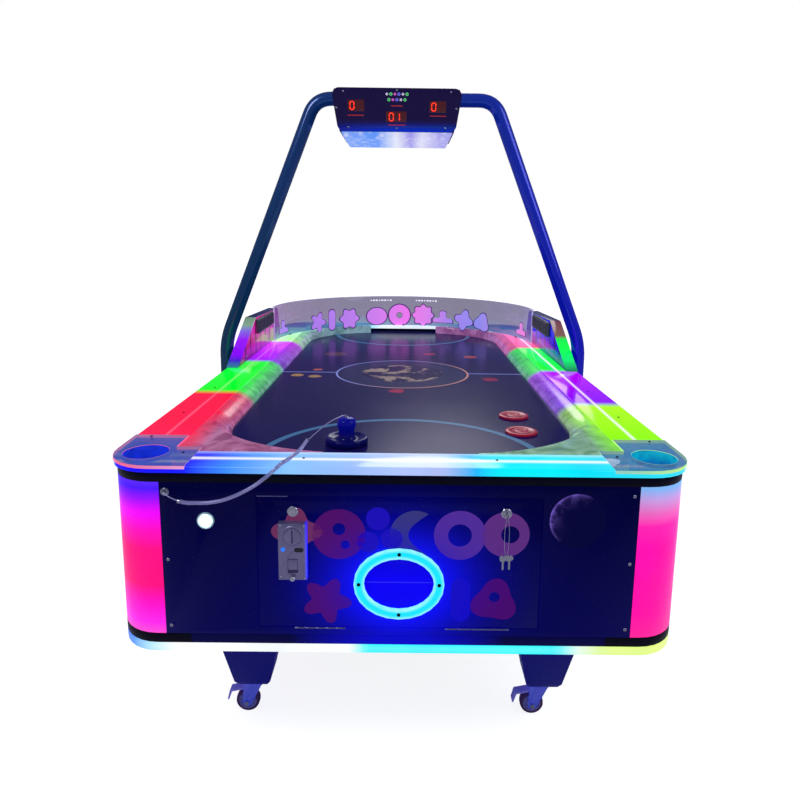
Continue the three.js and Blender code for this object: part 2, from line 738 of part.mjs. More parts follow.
function addCastors() {
  corners.forEach(([corner, signX, signY]) => {
    addLeg(corner, signX, signY);
    const place = (geometry) => onSide(geometry, -1, 1).translate(signX * legX, signY * legY, 0);
    add(`${corner}_castor_fork`, place(forkGeometry()), 'steel');
    add(`${corner}_castor_wheel`, place(wheelGeometry()), 'tyre');
    if (signY < 0) add(`${corner}_brake_pedal`, place(pedalGeometry()), 'brake');
  });
}

// ---------------------------------------------------------------- arch and scoreboard

function archPath(x) {
  const path = new THREE.CurvePath();
  const low = new THREE.Vector3(x, 0, archFoot);
  const shoulder = new THREE.Vector3(x, 0, archShoulder);
  const crown = new THREE.Vector3(archTopHalf, 0, archTop);
  const along = (from, to, far) => to.clone().sub(from).setLength(far).add(from);
  const flip = (point) => new THREE.Vector3(-point.x, 0, point.z);
  const beforeShoulder = along(shoulder, low, archBend);
  const afterShoulder = along(shoulder, crown, archBend);
  const beforeCrown = along(crown, shoulder, archBend);
  const afterCrown = along(crown, new THREE.Vector3(0, 0, archTop), archBend);
  path.add(new THREE.LineCurve3(low, beforeShoulder));
  path.add(new THREE.QuadraticBezierCurve3(beforeShoulder, shoulder, afterShoulder));
  path.add(new THREE.LineCurve3(afterShoulder, beforeCrown));
  path.add(new THREE.QuadraticBezierCurve3(beforeCrown, crown, afterCrown));
  path.add(new THREE.LineCurve3(afterCrown, flip(afterCrown)));
  path.add(new THREE.QuadraticBezierCurve3(flip(afterCrown), flip(crown), flip(beforeCrown)));
  path.add(new THREE.LineCurve3(flip(beforeCrown), flip(afterShoulder)));
  path.add(new THREE.QuadraticBezierCurve3(flip(afterShoulder), flip(shoulder), flip(beforeShoulder)));
  path.add(new THREE.LineCurve3(flip(beforeShoulder), flip(low)));
  return path;
}

function addArch() {
  const x = halfWidth + archStandOff;
  const tube = tubeAlong(archPath(x), archRadius, 48, 12);
  const bracket = block(wallX + gap, x - archRadius + 6, -60, 60, archFoot - 60, railBottom - 24);
  add('arch_tube', join(tube, bracket, onSide(bracket, -1, 1)), 'tube');
}

// The case's [half width, half depth, height] at a height, drawn in by an inset.
function boardAt(height, inset) {
  const share = (height - boardBottom[2]) / (boardTop[2] - boardBottom[2]);
  const [halfX, halfY] = [0, 1].map((i) => boardBottom[i] + share * (boardTop[i] - boardBottom[i]) - inset);
  return [halfX, halfY, height];
}

// A case with a sloping face for each player, open below for the lamp and grooved above for the tube.
function addScoreboard() {
  const grooveX = boardTop[0] + 1;
  const grooveY = archRadius + runningGap;
  const grooveFloor = archTop - grooveY;
  const groove = block(-grooveX, grooveX, -grooveY, grooveY, grooveFloor, boardTop[2] + 1);
  const hollow = tapered(
    boardAt(boardBottom[2] - 1, boardShell), boardAt(grooveFloor - boardShell, boardShell));
  const toSide = (geometry) => geometry.translate(boardShift, 0, 0);
  add('scoreboard_case', toSide(cut(tapered(boardBottom, boardTop), hollow, groove)), 'blackCase');
  const [halfX, halfY, bottom] = boardBottom;
  const lampTop = [halfX - lampInset, halfY - lampInset, bottom - gap];
  const lampFoot = [halfX - 2 * lampInset, halfY - 2 * lampInset, bottom - gap - lampDrop];
  add('scoreboard_lamp', toSide(tapered(lampFoot, lampTop)), 'lamp');
}

// ---------------------------------------------------------------- wings and end screen

function addWings() {
  const outline = polygon([...wingFront, ...wingRear.map(([y, rise]) => [screenCentre + y, rise])]);
  const wing = sideways(outline, halfWidth - wingThickness, halfWidth).translate(0, 0, railTop + gap);
  sides.forEach(([name, signX]) => add(`${name}_wing`, onSide(wing, signX, 1), 'blackCase'));
}

function addEndScreen() {
  const shape = new THREE.Shape();
  shape.absarc(0, screenCentre, screenRadius, 0, Math.PI);
  shape.absarc(0, screenCentre, screenRadius - screenThickness, Math.PI, 0, true);
  const bottom = railTop + gap;
  add('end_screen', slab(shape, bottom, bottom + screenHeight, 16), 'clear');
}

// ---------------------------------------------------------------- mallet, pucks and tether

function addLoosePieces() {
  const floor = playTop + gap;
  const top = floor + malletHeight;
  const mallet = turned([
    [0, floor], [malletRadius - 3, floor], [malletRadius, floor + 4], [malletRadius, floor + 16],
    [malletRadius - 4, floor + 20], [malletRadius - 12, floor + 19], [27, floor + 14], [21, floor + 22],
    [20, floor + 36], [24, floor + 46], [24, floor + 60], [17, top - 2], [5, top], [4, top + 2.8], [0, top + 2.8],
  ], malletPlace[0], malletPlace[1] - innerY);
  add('mallet', mallet, 'mallet');
  puckPlaces.forEach(([x, y], i) => {
    add(`puck_${i + 1}`, drumAlongZ(puckRadius, poolX - x, y - innerY, floor, floor + puckThickness, 32), 'puck');
  });
}

function addTether() {
  const tether = join(
    tubeAlong(smoothPath(anchorWire), wireRadius, 4, 8),
    tubeAlong(smoothPath(sleeve), sleeveRadius, 30, 8),
    tubeAlong(smoothPath(malletWire), wireRadius, 10, 8));
  add('tether', tether, 'steel');
}

addBase();
addCornerLights();
addWalls();
addTopFrame();
addPlayfield();
addBanks();
addBlower();
addPowerBox();
addGoals();
addEndRails();
addSideRails();
addCornerPlates();
addDoor();
addOutletRim();
addLocks();
addCoinAcceptor();
addStartButton();
addCashBox();
addCastors();
addArch();
addScoreboard();
addWings();
addEndScreen();
addLoosePieces();
addTether();

export default table;
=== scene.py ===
"""Coin-operated air hockey table: a lit cabinet on castors, a scoreboard on a tube arch,
side wings and a clear curved end screen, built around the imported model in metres."""

import json
import math

import bpy
from mathutils import Matrix, Vector
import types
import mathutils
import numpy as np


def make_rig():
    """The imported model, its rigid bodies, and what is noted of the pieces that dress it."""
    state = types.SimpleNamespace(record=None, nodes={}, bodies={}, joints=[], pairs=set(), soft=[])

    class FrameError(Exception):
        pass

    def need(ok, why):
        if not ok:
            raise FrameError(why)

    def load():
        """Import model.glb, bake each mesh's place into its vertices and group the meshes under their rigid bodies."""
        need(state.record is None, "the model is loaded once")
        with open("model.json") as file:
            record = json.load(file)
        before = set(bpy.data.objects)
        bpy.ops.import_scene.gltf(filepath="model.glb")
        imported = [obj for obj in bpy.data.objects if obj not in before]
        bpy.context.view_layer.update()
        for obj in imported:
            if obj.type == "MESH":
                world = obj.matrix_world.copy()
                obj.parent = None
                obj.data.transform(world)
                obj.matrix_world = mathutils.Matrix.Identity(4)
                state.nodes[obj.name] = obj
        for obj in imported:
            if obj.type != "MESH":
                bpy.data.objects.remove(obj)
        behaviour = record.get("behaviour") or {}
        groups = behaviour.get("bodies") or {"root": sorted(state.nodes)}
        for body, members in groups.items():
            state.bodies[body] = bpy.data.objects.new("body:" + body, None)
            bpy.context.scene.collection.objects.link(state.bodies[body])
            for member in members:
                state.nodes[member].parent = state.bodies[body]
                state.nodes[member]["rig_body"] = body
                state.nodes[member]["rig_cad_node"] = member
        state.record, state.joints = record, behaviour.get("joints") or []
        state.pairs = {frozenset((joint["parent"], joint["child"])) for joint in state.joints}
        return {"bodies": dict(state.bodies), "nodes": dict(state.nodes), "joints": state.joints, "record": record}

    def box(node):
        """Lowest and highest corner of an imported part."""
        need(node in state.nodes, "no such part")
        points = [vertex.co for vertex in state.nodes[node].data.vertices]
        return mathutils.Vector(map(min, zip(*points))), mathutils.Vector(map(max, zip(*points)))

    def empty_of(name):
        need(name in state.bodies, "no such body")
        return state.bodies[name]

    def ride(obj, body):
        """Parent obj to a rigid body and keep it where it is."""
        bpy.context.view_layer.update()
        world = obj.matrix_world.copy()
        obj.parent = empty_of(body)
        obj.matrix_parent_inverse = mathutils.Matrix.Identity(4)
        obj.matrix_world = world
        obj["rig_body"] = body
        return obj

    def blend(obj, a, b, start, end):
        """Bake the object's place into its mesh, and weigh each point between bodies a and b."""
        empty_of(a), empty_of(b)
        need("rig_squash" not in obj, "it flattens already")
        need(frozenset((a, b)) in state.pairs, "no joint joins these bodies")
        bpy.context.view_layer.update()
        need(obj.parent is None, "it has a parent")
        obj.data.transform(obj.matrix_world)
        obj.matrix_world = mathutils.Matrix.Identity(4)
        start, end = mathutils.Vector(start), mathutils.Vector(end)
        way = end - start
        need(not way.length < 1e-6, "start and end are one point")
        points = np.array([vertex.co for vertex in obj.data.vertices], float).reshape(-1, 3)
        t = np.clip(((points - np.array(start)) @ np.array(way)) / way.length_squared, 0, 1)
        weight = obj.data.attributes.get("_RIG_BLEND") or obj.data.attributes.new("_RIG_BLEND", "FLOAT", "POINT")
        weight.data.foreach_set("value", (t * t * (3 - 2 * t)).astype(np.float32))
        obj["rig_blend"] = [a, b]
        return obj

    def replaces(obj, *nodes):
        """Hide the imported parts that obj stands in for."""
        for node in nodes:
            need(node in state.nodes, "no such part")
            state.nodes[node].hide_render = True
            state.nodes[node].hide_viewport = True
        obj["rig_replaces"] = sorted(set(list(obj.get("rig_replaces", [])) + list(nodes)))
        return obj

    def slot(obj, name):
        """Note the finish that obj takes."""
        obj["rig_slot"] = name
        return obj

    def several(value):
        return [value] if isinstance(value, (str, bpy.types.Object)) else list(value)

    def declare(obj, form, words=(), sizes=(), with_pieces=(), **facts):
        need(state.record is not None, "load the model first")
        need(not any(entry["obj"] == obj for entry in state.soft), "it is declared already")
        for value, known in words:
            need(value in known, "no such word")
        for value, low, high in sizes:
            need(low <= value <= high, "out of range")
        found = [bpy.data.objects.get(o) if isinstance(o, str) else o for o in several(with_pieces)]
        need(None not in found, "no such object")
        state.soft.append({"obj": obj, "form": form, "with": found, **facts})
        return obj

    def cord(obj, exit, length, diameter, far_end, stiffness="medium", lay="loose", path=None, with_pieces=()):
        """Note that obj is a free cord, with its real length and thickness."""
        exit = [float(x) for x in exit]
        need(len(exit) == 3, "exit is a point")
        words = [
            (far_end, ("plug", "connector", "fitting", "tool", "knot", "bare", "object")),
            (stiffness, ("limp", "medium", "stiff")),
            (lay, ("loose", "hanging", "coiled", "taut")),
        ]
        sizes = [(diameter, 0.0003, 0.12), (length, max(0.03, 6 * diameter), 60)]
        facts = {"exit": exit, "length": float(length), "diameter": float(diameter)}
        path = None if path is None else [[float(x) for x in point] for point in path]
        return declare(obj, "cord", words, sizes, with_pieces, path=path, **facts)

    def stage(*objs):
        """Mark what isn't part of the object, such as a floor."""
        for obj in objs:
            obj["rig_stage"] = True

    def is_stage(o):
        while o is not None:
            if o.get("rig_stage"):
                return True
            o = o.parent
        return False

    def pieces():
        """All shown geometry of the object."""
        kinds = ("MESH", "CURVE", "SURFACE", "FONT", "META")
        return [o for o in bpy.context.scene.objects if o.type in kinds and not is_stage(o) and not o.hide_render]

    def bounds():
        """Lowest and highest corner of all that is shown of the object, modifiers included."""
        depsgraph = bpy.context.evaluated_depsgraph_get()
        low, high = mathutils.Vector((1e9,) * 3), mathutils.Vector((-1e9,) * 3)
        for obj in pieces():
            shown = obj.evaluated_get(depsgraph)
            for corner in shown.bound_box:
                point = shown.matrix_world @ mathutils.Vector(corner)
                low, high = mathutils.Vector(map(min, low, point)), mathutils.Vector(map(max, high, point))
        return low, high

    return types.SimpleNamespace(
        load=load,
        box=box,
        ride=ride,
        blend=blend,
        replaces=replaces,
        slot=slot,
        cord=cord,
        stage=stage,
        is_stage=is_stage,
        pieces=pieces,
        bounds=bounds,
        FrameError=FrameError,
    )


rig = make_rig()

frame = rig.load()
cad_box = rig.bounds()
scene = bpy.context.scene

# ---------------------------------------------------------------- camera
# Standing a little over a metre from the coin door, looking down the table.
eye = bpy.data.cameras.new("camera")
camera = bpy.data.objects.new("camera", eye)
scene.collection.objects.link(camera)
scene.camera = camera
eye.sensor_width, eye.lens = 36.0, 29.43
eye.shift_x, eye.shift_y = -0.0071, -0.0633
camera.matrix_world = (
    Matrix.Translation((0.005, -2.498, 1.268))
    @ Matrix.Rotation(math.radians(-0.16), 4, "Z")
    @ Matrix.Rotation(math.radians(90 - 9.86), 4, "X")
    @ Matrix.Rotation(math.radians(0.68), 4, "Z")
)
scene.view_settings.view_transform = "Standard"

# ---------------------------------------------------------------- tether
# A thin steel wire from the stud on the front panel, a wound steel sleeve over the rail,
# and a thin wire down to the mallet.


def only(piece):
    """Selects one piece and nothing else."""
    bpy.ops.object.select_all(action="DESELECT")
    piece.select_set(True)
    bpy.context.view_layer.objects.active = piece
    return piece


def tone(code):
    """A linear colour from six hex digits."""
    parts = [int(code[i:i + 2], 16) / 255 for i in (0, 2, 4)]
    return (*(c / 12.92 if c <= 0.04045 else ((c + 0.055) / 1.055) ** 2.4 for c in parts), 1.0)


def node(tree, kind, inputs=None, **settings):
    """Adds a shader node. An input is a number, a colour or another node's socket."""
    made = tree.nodes.new("ShaderNode" + kind)
    for key, value in settings.items():
        setattr(made, key, value)
    for key, value in (inputs or {}).items():
        if isinstance(value, bpy.types.NodeSocket):
            tree.links.new(value, made.inputs[key])
        else:
            made.inputs[key].default_value = value
    return made


def sums(tree, operation, a, b=0.0, clamp=False):
    """One step of arithmetic on sockets or numbers."""
    return node(tree, "Math", {0: a, 1: b}, operation=operation, use_clamp=clamp).outputs[0]


def mixed(tree, share, a, b, blend="MIX"):
    """Two colours mixed by a share."""
    made = node(tree, "Mix", {0: share, 6: a, 7: b}, data_type="RGBA", blend_type=blend)
    return made.outputs[2]


def here(tree):
    """The point in the part's frame."""
    return node(tree, "TexCoord").outputs["Object"]


def place(tree):
    """The x, y and z of the point in the part's frame."""
    return node(tree, "SeparateXYZ", {0: here(tree)}).outputs


def times(tree, first, *others):
    """A product of sockets or numbers."""
    for other in others:
        first = sums(tree, "MULTIPLY", first, other)
    return first


def across_both(tree, a, b):
    """The length of a vector with these two sides."""
    return sums(tree, "SQRT", sums(tree, "ADD", times(tree, a, a), times(tree, b, b)))


def ranged(tree, value, low, high, at_low=0.0, at_high=1.0):
    """A value carried from one range to another and held at its ends."""
    return node(tree, "MapRange", {0: value, 1: low, 2: high, 3: at_low, 4: at_high}).outputs[0]


def noise(tree, spot, scale, detail, **more):
    """A cloudy pattern from 0 to 1."""
    return node(tree, "TexNoise", {"Vector": spot, "Scale": scale, "Detail": detail, **more}).outputs[0]


def grey(tree, level):
    """A grey of the given level."""
    return node(tree, "CombineColor", {0: level, 1: level, 2: level}).outputs[0]


def new_group(name, inputs, outputs):
    """An empty shader group with named sockets."""
    made = bpy.data.node_groups.new(name, "ShaderNodeTree")
    kinds = {"c": "NodeSocketColor", "v": "NodeSocketFloat"}
    for label, kind in inputs:
        made.interface.new_socket(label, in_out="INPUT", socket_type=kinds[kind])
    for label, kind in outputs:
        made.interface.new_socket(label, in_out="OUTPUT", socket_type=kinds[kind])
    return made, made.nodes.new("NodeGroupInput").outputs, made.nodes.new("NodeGroupOutput").inputs


# Handling marks: cloudy smudges, fine dust and a slight grain.
wear, given, result = new_group(
    "handling marks",
    [("Colour", "c"), ("Roughness", "v"), ("Size", "v"), ("Amount", "v"), ("Dust", "v")],
    [("Colour", "c"), ("Roughness", "v"), ("Height", "v")],
)
spot = here(wear)
cloud = noise(wear, spot, 5.0, 5.0, Roughness=0.6)
grain = noise(wear, spot, given["Size"], 3.0)
specks = node(wear, "TexVoronoi", {"Vector": spot, "Scale": 95.0}).outputs["Distance"]
speck = times(wear, sums(wear, "LESS_THAN", specks, 0.085), given["Dust"])
shift = times(wear, sums(wear, "SUBTRACT", cloud, 0.5), given["Amount"])
darker = mixed(wear, sums(wear, "ABSOLUTE", shift, 0.0, True), given["Colour"], (0.0, 0.0, 0.0, 1.0))
dusty = mixed(wear, speck, darker, tone("8a8aa8"))
wear.links.new(dusty, result["Colour"])
fine = times(wear, sums(wear, "SUBTRACT", grain, 0.5), times(wear, given["Amount"], 0.35))
rough = sums(wear, "ADD", sums(wear, "ADD", given["Roughness"], times(wear, shift, 0.7)), fine)
wear.links.new(sums(wear, "MAXIMUM", sums(wear, "ADD", rough, speck), 0.02), result["Roughness"])
wear.links.new(sums(wear, "ADD", grain, speck), result["Height"])


def finish(name, colour, roughness, metallic=0.0, size=260.0, amount=0.2, dust=0.0, bump=0.02, **fixed):
    """A finish with handling marks. Colour is hex digits or a function of the node tree."""
    material = bpy.data.materials.new(name)
    material.use_nodes = True
    tree = material.node_tree
    shader = tree.nodes["Principled BSDF"]
    shader.inputs["Metallic"].default_value = metallic
    for key, value in fixed.items():
        shader.inputs[key.replace("_", " ")].default_value = value
    marks = node(tree, "Group", node_tree=wear)
    for key, value in (("Roughness", roughness), ("Size", size), ("Amount", amount), ("Dust", dust)):
        marks.inputs[key].default_value = value
    if callable(colour):
        tree.links.new(colour(tree), marks.inputs["Colour"])
    else:
        marks.inputs["Colour"].default_value = tone(colour)
    tree.links.new(marks.outputs["Colour"], shader.inputs["Base Color"])
    tree.links.new(marks.outputs["Roughness"], shader.inputs["Roughness"])
    relief = node(tree, "Bump", {"Strength": bump, "Distance": 0.001, "Height": marks.outputs["Height"]})
    tree.links.new(relief.outputs[0], shader.inputs["Normal"])
    return material


def shines(material, colour, strength=1.0):
    """Makes a finish give light in a colour that is a hex code or a function of the node tree."""
    tree = material.node_tree
    shader = tree.nodes["Principled BSDF"]
    if callable(colour):
        tree.links.new(colour(tree), shader.inputs["Emission Color"])
    else:
        shader.inputs["Emission Color"].default_value = tone(colour)
    shader.inputs["Emission Strength"].default_value = strength
    return material


def wear_it(piece, material, body, slot, *nodes):
    """Gives a new piece its finish, its body, its slot and the CAD nodes it stands for."""
    piece.data.materials.clear()
    piece.data.materials.append(material)
    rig.ride(piece, body)
    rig.slot(piece, slot)
    if nodes:
        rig.replaces(piece, *nodes)
    return piece


steel = finish("bright steel", "b9bccb", 0.28, 1.0, size=420.0, amount=0.5, bump=0.05)
tether_steel = finish("tether steel", "a9a6c4", 0.3, 0.85, size=900.0, amount=0.4, bump=0.05)
# Painted light: the tether steel glows a faint blue-grey, standing in for its bright highlights.
shines(tether_steel, "686898", 0.5)

anchor_path = [(-507, -1169.6, 719), (-490, -1176, 711), (-470, -1177, 703)]
sleeve_path = [
    (-474, -1177, 704), (-455, -1181, 702), (-435, -1184, 703), (-408, -1187, 705), (-382, -1189, 710),
    (-356, -1190, 719), (-333, -1190, 730), (-307, -1189, 745), (-283, -1187, 763), (-266, -1182, 777.5),
    (-253, -1166, 786.8), (-246, -1143, 785.8), (-240, -1120, 785.3), (-233, -1095, 785.6),
    (-227, -1070, 788),
    (-221, -1046, 793), (-217, -1032, 797),
]
mallet_path = [
    (-219, -1040, 795), (-205, -1008, 802), (-193, -985, 809), (-178, -957, 815), (-166, -935, 818),
    (-153, -911, 818.5), (-146, -897, 818), (-141, -888, 816),
]


def smooth_line(points, steps):
    """Points along a smooth line through the given ones, which are in millimetres."""
    p = [Vector(q) / 1000 for q in points]
    p = [2 * p[0] - p[1], *p, 2 * p[-1] - p[-2]]
    line = []
    for a, b, c, d in zip(p, p[1:], p[2:], p[3:]):
        for k in range(steps):
            t = k / steps
            line.append(0.5 * (2 * b + (c - a) * t + (2 * a - 5 * b + 4 * c - d) * t * t
                               + (3 * b - a - 3 * c + d) * t ** 3))
    return line + [p[-2]]


def tube(name, line, radius, sides=2, closed=False):
    """A round tube along a line of points, made a mesh with closed ends."""
    curve = bpy.data.curves.new(name, "CURVE")
    curve.dimensions, curve.bevel_depth, curve.bevel_resolution = "3D", radius, sides
    curve.use_fill_caps = not closed
    spline = curve.splines.new("POLY")
    spline.points.add(len(line) - 1)
    spline.use_cyclic_u = closed
    for point, at in zip(spline.points, line):
        point.co = (*at, 1.0)
    made = bpy.data.objects.new(name, curve)
    scene.collection.objects.link(made)
    only(made)
    bpy.ops.object.convert(target="MESH")
    made = bpy.context.object
    bpy.ops.object.shade_smooth_by_angle(angle=math.radians(50))
    return made


def line_length(line):
    return sum((b - a).length for a, b in zip(line, line[1:]))


anchor_line = smooth_line(anchor_path, 12)
anchor = tube("tether_anchor_wire", anchor_line, 0.0012)
wear_it(anchor, tether_steel, "table", "bright_steel", "tether")

sleeve_line = smooth_line(sleeve_path, 12)
winding = []
turn_pitch, winding_radius = 0.0026, 0.0036
travelled = 0.0
for a, b in zip(sleeve_line, sleeve_line[1:]):
    ahead = (b - a).normalized()
    side = ahead.cross(Vector((0, 0, 1))).normalized()
    over = side.cross(ahead)
    steps = max(1, round((b - a).length / turn_pitch * 9))
    for k in range(steps):
        at = travelled + (b - a).length * k / steps
        angle = 2 * math.pi * at / turn_pitch
        winding.append(a.lerp(b, k / steps)
                       + winding_radius * (side * math.cos(angle) + over * math.sin(angle)))
    travelled += (b - a).length
sleeve = tube("tether_sleeve", winding, 0.0009, 0)
wear_it(sleeve, tether_steel, "table", "bright_steel")

mallet_line = smooth_line(mallet_path, 10)
wire = tube("tether_mallet_wire", mallet_line, 0.0012)
wire.data.materials.append(tether_steel)
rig.slot(wire, "bright_steel")
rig.blend(wire, "table", "mallet", start=mallet_line[4], end=mallet_line[-4])

ferrules = []
for name, line, way in (("tether_front_ferrule", sleeve_line, 1), ("tether_rear_ferrule", sleeve_line, -1)):
    ends = [p.copy() for p in (line[:4] if way > 0 else line[-4:])]
    ferrule = tube(name, ends, 0.0048, 3)
    ferrules.append(wear_it(ferrule, steel, "table", "bright_steel"))
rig.cord(anchor, exit=tuple(anchor_line[0]), length=line_length(anchor_line), diameter=0.0024,
        far_end="object", stiffness="stiff", lay="loose", path=anchor_line)
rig.cord(sleeve, exit=tuple(anchor_line[-1]), length=line_length(sleeve_line), diameter=0.009,
        far_end="fitting", stiffness="stiff", lay="loose", path=sleeve_line, with_pieces=ferrules)
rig.cord(wire, exit=tuple(sleeve_line[-1]), length=line_length(mallet_line), diameter=0.0024,
        far_end="object", stiffness="stiff", lay="loose", path=mallet_line)

# ---------------------------------------------------------------- bottom light strip
# A milky acrylic ring round the cabinet's foot with a colour-changing LED tape behind it.


def around(x, y):
    """How far round the table a point is, from 0 to 1, starting at the middle of the left side."""
    return math.atan2(y / 1.17, x / 0.65) / (2 * math.pi) + 0.5


round_table, given, result = new_group("round the table", [], [("Way", "v")])
there = place(round_table)
turned = sums(round_table, "ARCTAN2", sums(round_table, "DIVIDE", there[1], 1.17),
              sums(round_table, "DIVIDE", there[0], 0.65))
round_table.links.new(sums(round_table, "ADD", sums(round_table, "DIVIDE", turned, 2 * math.pi), 0.5),
                      result["Way"])


def shades(tree, value, stops, low=0.0, high=1.0):
    """Colours along a value, from stops of (value, hex digits)."""
    share = ranged(tree, value, low, high)
    ramp = node(tree, "ValToRGB", {0: share})
    marks = ramp.color_ramp.elements
    for k, (at, code) in enumerate(stops):
        mark = marks[k] if k < 2 else marks.new(1.0)
        mark.position = (at - low) / (high - low)
        mark.color = tone(code)
    return ramp.outputs[0]


def ring_colours(stops):
    """A function of the node tree giving colours round the table from stops of (x, y, hex digits)."""
    placed = sorted((around(x, y), code) for x, y, code in stops)
    return lambda tree: shades(tree, node(tree, "Group", node_tree=round_table).outputs[0], placed)


def acrylic(name, colours, strength, rough=0.2, hot=None, body_share=0.16):
    """Lit acrylic: its colours, brighter along a hot line of (axis, place, half width, share)."""
    lamp = finish(name, lambda tree: mixed(tree, 1.0, colours(tree), (body_share,) * 3 + (1.0,), "MULTIPLY"),
                  rough, size=60.0, amount=0.12, dust=0.1, Specular_IOR_Level=0.25)

    def glow(tree):
        colour = colours(tree)
        spot = here(tree)
        uneven = noise(tree, spot, 7.0, 2.0)
        level = ranged(tree, uneven, 0.3, 0.7, 0.86, 1.06)
        colour = mixed(tree, 1.0, colour, grey(tree, level),
                       "MULTIPLY")
        for axis, middle, half, share, code in hot or ():
            value = place(tree)[axis]
            if axis == 0:
                value = sums(tree, "ABSOLUTE", value)
            off = sums(tree, "DIVIDE", sums(tree, "ABSOLUTE", sums(tree, "SUBTRACT", value, middle)), half)
            line = sums(tree, "EXPONENT", times(tree, off, off, -1.0))
            colour = mixed(tree, times(tree, line, share), colour, tone(code))
        return colour

    return shines(lamp, glow, strength)


def finished_copy(cad_node, bevel=0.0015, segments=2, angle=30, flat=True):
    """A copy of a CAD node with its doubles merged, its flat faces whole and its edges rounded."""
    piece = bpy.data.objects.new(cad_node + "_finished", frame["nodes"][cad_node].data.copy())
    scene.collection.objects.link(piece)
    only(piece)
    if piece.data.has_custom_normals:
        bpy.ops.mesh.customdata_custom_splitnormals_clear()
    bpy.ops.object.mode_set(mode="EDIT")
    bpy.ops.mesh.select_all(action="SELECT")
    bpy.ops.mesh.remove_doubles(threshold=0.00002)
    if flat:
        bpy.ops.mesh.dissolve_limited(angle_limit=math.radians(0.6))
    bpy.ops.object.mode_set(mode="OBJECT")
    if bevel:
        edge = piece.modifiers.new("rounded edge", "BEVEL")
        edge.width, edge.segments, edge.limit_method = bevel, segments, "ANGLE"
        edge.angle_limit = math.radians(angle)
        bpy.ops.object.modifier_apply(modifier=edge.name)
    bpy.ops.object.shade_smooth_by_angle(angle=math.radians(40))
    return piece


foot_stops = [
    (-0.642, -0.9, "4a20ff"), (-0.64, -1.08, "2036ff"), (-0.61, -1.15, "2a8cff"), (-0.56, -1.162, "a8e4ff"),
    (-0.5, -1.162, "fdffff"), (-0.11, -1.162, "f4ffff"), (-0.075, -1.162, "12f4ff"), (0.36, -1.162, "00f2ff"),
    (0.41, -1.162, "e6ffe8"), (0.46, -1.162, "dcff86"), (0.6, -1.162, "e4ff78"), (0.642, -1.05, "c4ff90"),
    (0.642, -0.6, "60ff70"), (0.642, -0.1, "20e8ff"), (0.642, 0.5, "3050ff"), (0.642, 1.0, "8a20ff"),
    (0.5, 1.162, "ff30c0"), (0.0, 1.162, "ff50a0"), (-0.5, 1.162, "ff8040"), (-0.642, 0.9, "ff3060"),
    (-0.642, 0.3, "ff20c0"), (-0.642, 0.0, "d020ff"),
]
wrap = [(-0.642, -0.0001, "c820ff")]
foot_light = finished_copy("bottom_light_strip", 0.004, 3)
wear_it(foot_light, acrylic("foot strip acrylic", ring_colours(foot_stops + wrap), 1.05,
                            hot=[(2, 0.351, 0.01, 0.1, "ffffff")]),
        "table", "lit_acrylic", "bottom_light_strip")

# ---------------------------------------------------------------- base board and top band
# Black-edged boards over and under the panels, with a slight grain in their paint.

def board_light(tree):
    """Painted light: a faint glow on the near black boards, and a blue glow where the printed film runs down over the
    base board between the corner lights, brightest in the middle under the outlet.
    """
    there = place(tree)
    low = ranged(tree, there[2], 0.4, 0.5, 1.0, 0.0)
    inside = ranged(tree, sums(tree, "ABSOLUTE", there[0]), 0.462, 0.466, 1.0, 0.0)
    front = ranged(tree, there[1], -1.16, -1.15, 1.0, 0.0)
    near = ranged(tree, sums(tree, "ABSOLUTE", there[0]), 0.05, 0.24, 1.0, 0.0)
    film = mixed(tree, near, tone("000040"), tone("0404d8"))
    return mixed(tree, times(tree, low, inside, front), tone("000010"), film)


black_board = finish("black board", "020208", 0.3, size=180.0, amount=0.3, dust=0.12, Specular_IOR_Level=0.12)
shines(black_board, board_light, 0.85)
for cad_node in ("base_board", "top_frame"):
    board = finished_copy(cad_node, 0.0015)
    wear_it(board, black_board, "table", "black_board", cad_node)

# ---------------------------------------------------------------- cabinet panels
# Boards with a dark, glossy printed film and painted light on it: a faint blue glow, and on the front one a painted
# blue glow round the lit outlet.

# Painted light: a mask for the outlet's blue light painted on the front panel, the door and what lies behind the
# outlet, falling off outside an oval round the outlet.
outlet_glow, given, result = new_group("outlet glow", [("Reach", "v")], [("Mask", "v")])
there = place(outlet_glow)
across = sums(outlet_glow, "DIVIDE", there[0], 0.1)
up = sums(outlet_glow, "DIVIDE", sums(outlet_glow, "SUBTRACT", there[2], 0.503), 0.083)
across = times(outlet_glow, across, across)
up = times(outlet_glow, up, up)
off = sums(outlet_glow, "SUBTRACT", sums(outlet_glow, "SQRT", sums(outlet_glow, "ADD", across, up)), 0.9)
off = sums(outlet_glow, "DIVIDE", sums(outlet_glow, "MAXIMUM", off, 0.0), given["Reach"])
fall = sums(outlet_glow, "EXPONENT", times(outlet_glow, sums(outlet_glow, "POWER", off, 1.25), -1.0))
front = ranged(outlet_glow, there[1], -1.0, -0.6, 1.0, 0.0)
outlet_glow.links.new(times(outlet_glow, fall, front), result["Mask"])


def film_light(low_code, reach, peak="0a0cff", share=1.0):
    """Painted light on a dark film: a faint blue glow all over, brighter towards the bottom, and the outlet's blue
    light painted round it.
    """

    def made(tree):
        there = place(tree)
        lift = ranged(tree, there[2], 0.74, 0.38, 0.55, 1.35)
        low = mixed(tree, 1.0, tone(low_code), grey(tree, lift),
                    "MULTIPLY")
        near = node(tree, "Group", {"Reach": reach}, node_tree=outlet_glow).outputs[0]
        return mixed(tree, sums(tree, "MULTIPLY", near, share, True), low, tone(peak))

    return made


film = finish("printed film", "00000e", 0.14, size=120.0, amount=0.16, dust=0.12, bump=0.01,
              Specular_IOR_Level=0.1)
shines(film, film_light("000040", 0.75), 1.0)
for cad_node in ("front_panel", "rear_panel", "left_side_panel", "right_side_panel"):
    panel = finished_copy(cad_node, 0.0008)
    wear_it(panel, film, "table", "black_board", cad_node)

# ---------------------------------------------------------------- corner lights
# Bent milky acrylic sheets at the four corners, lit from behind in colours that run down them.


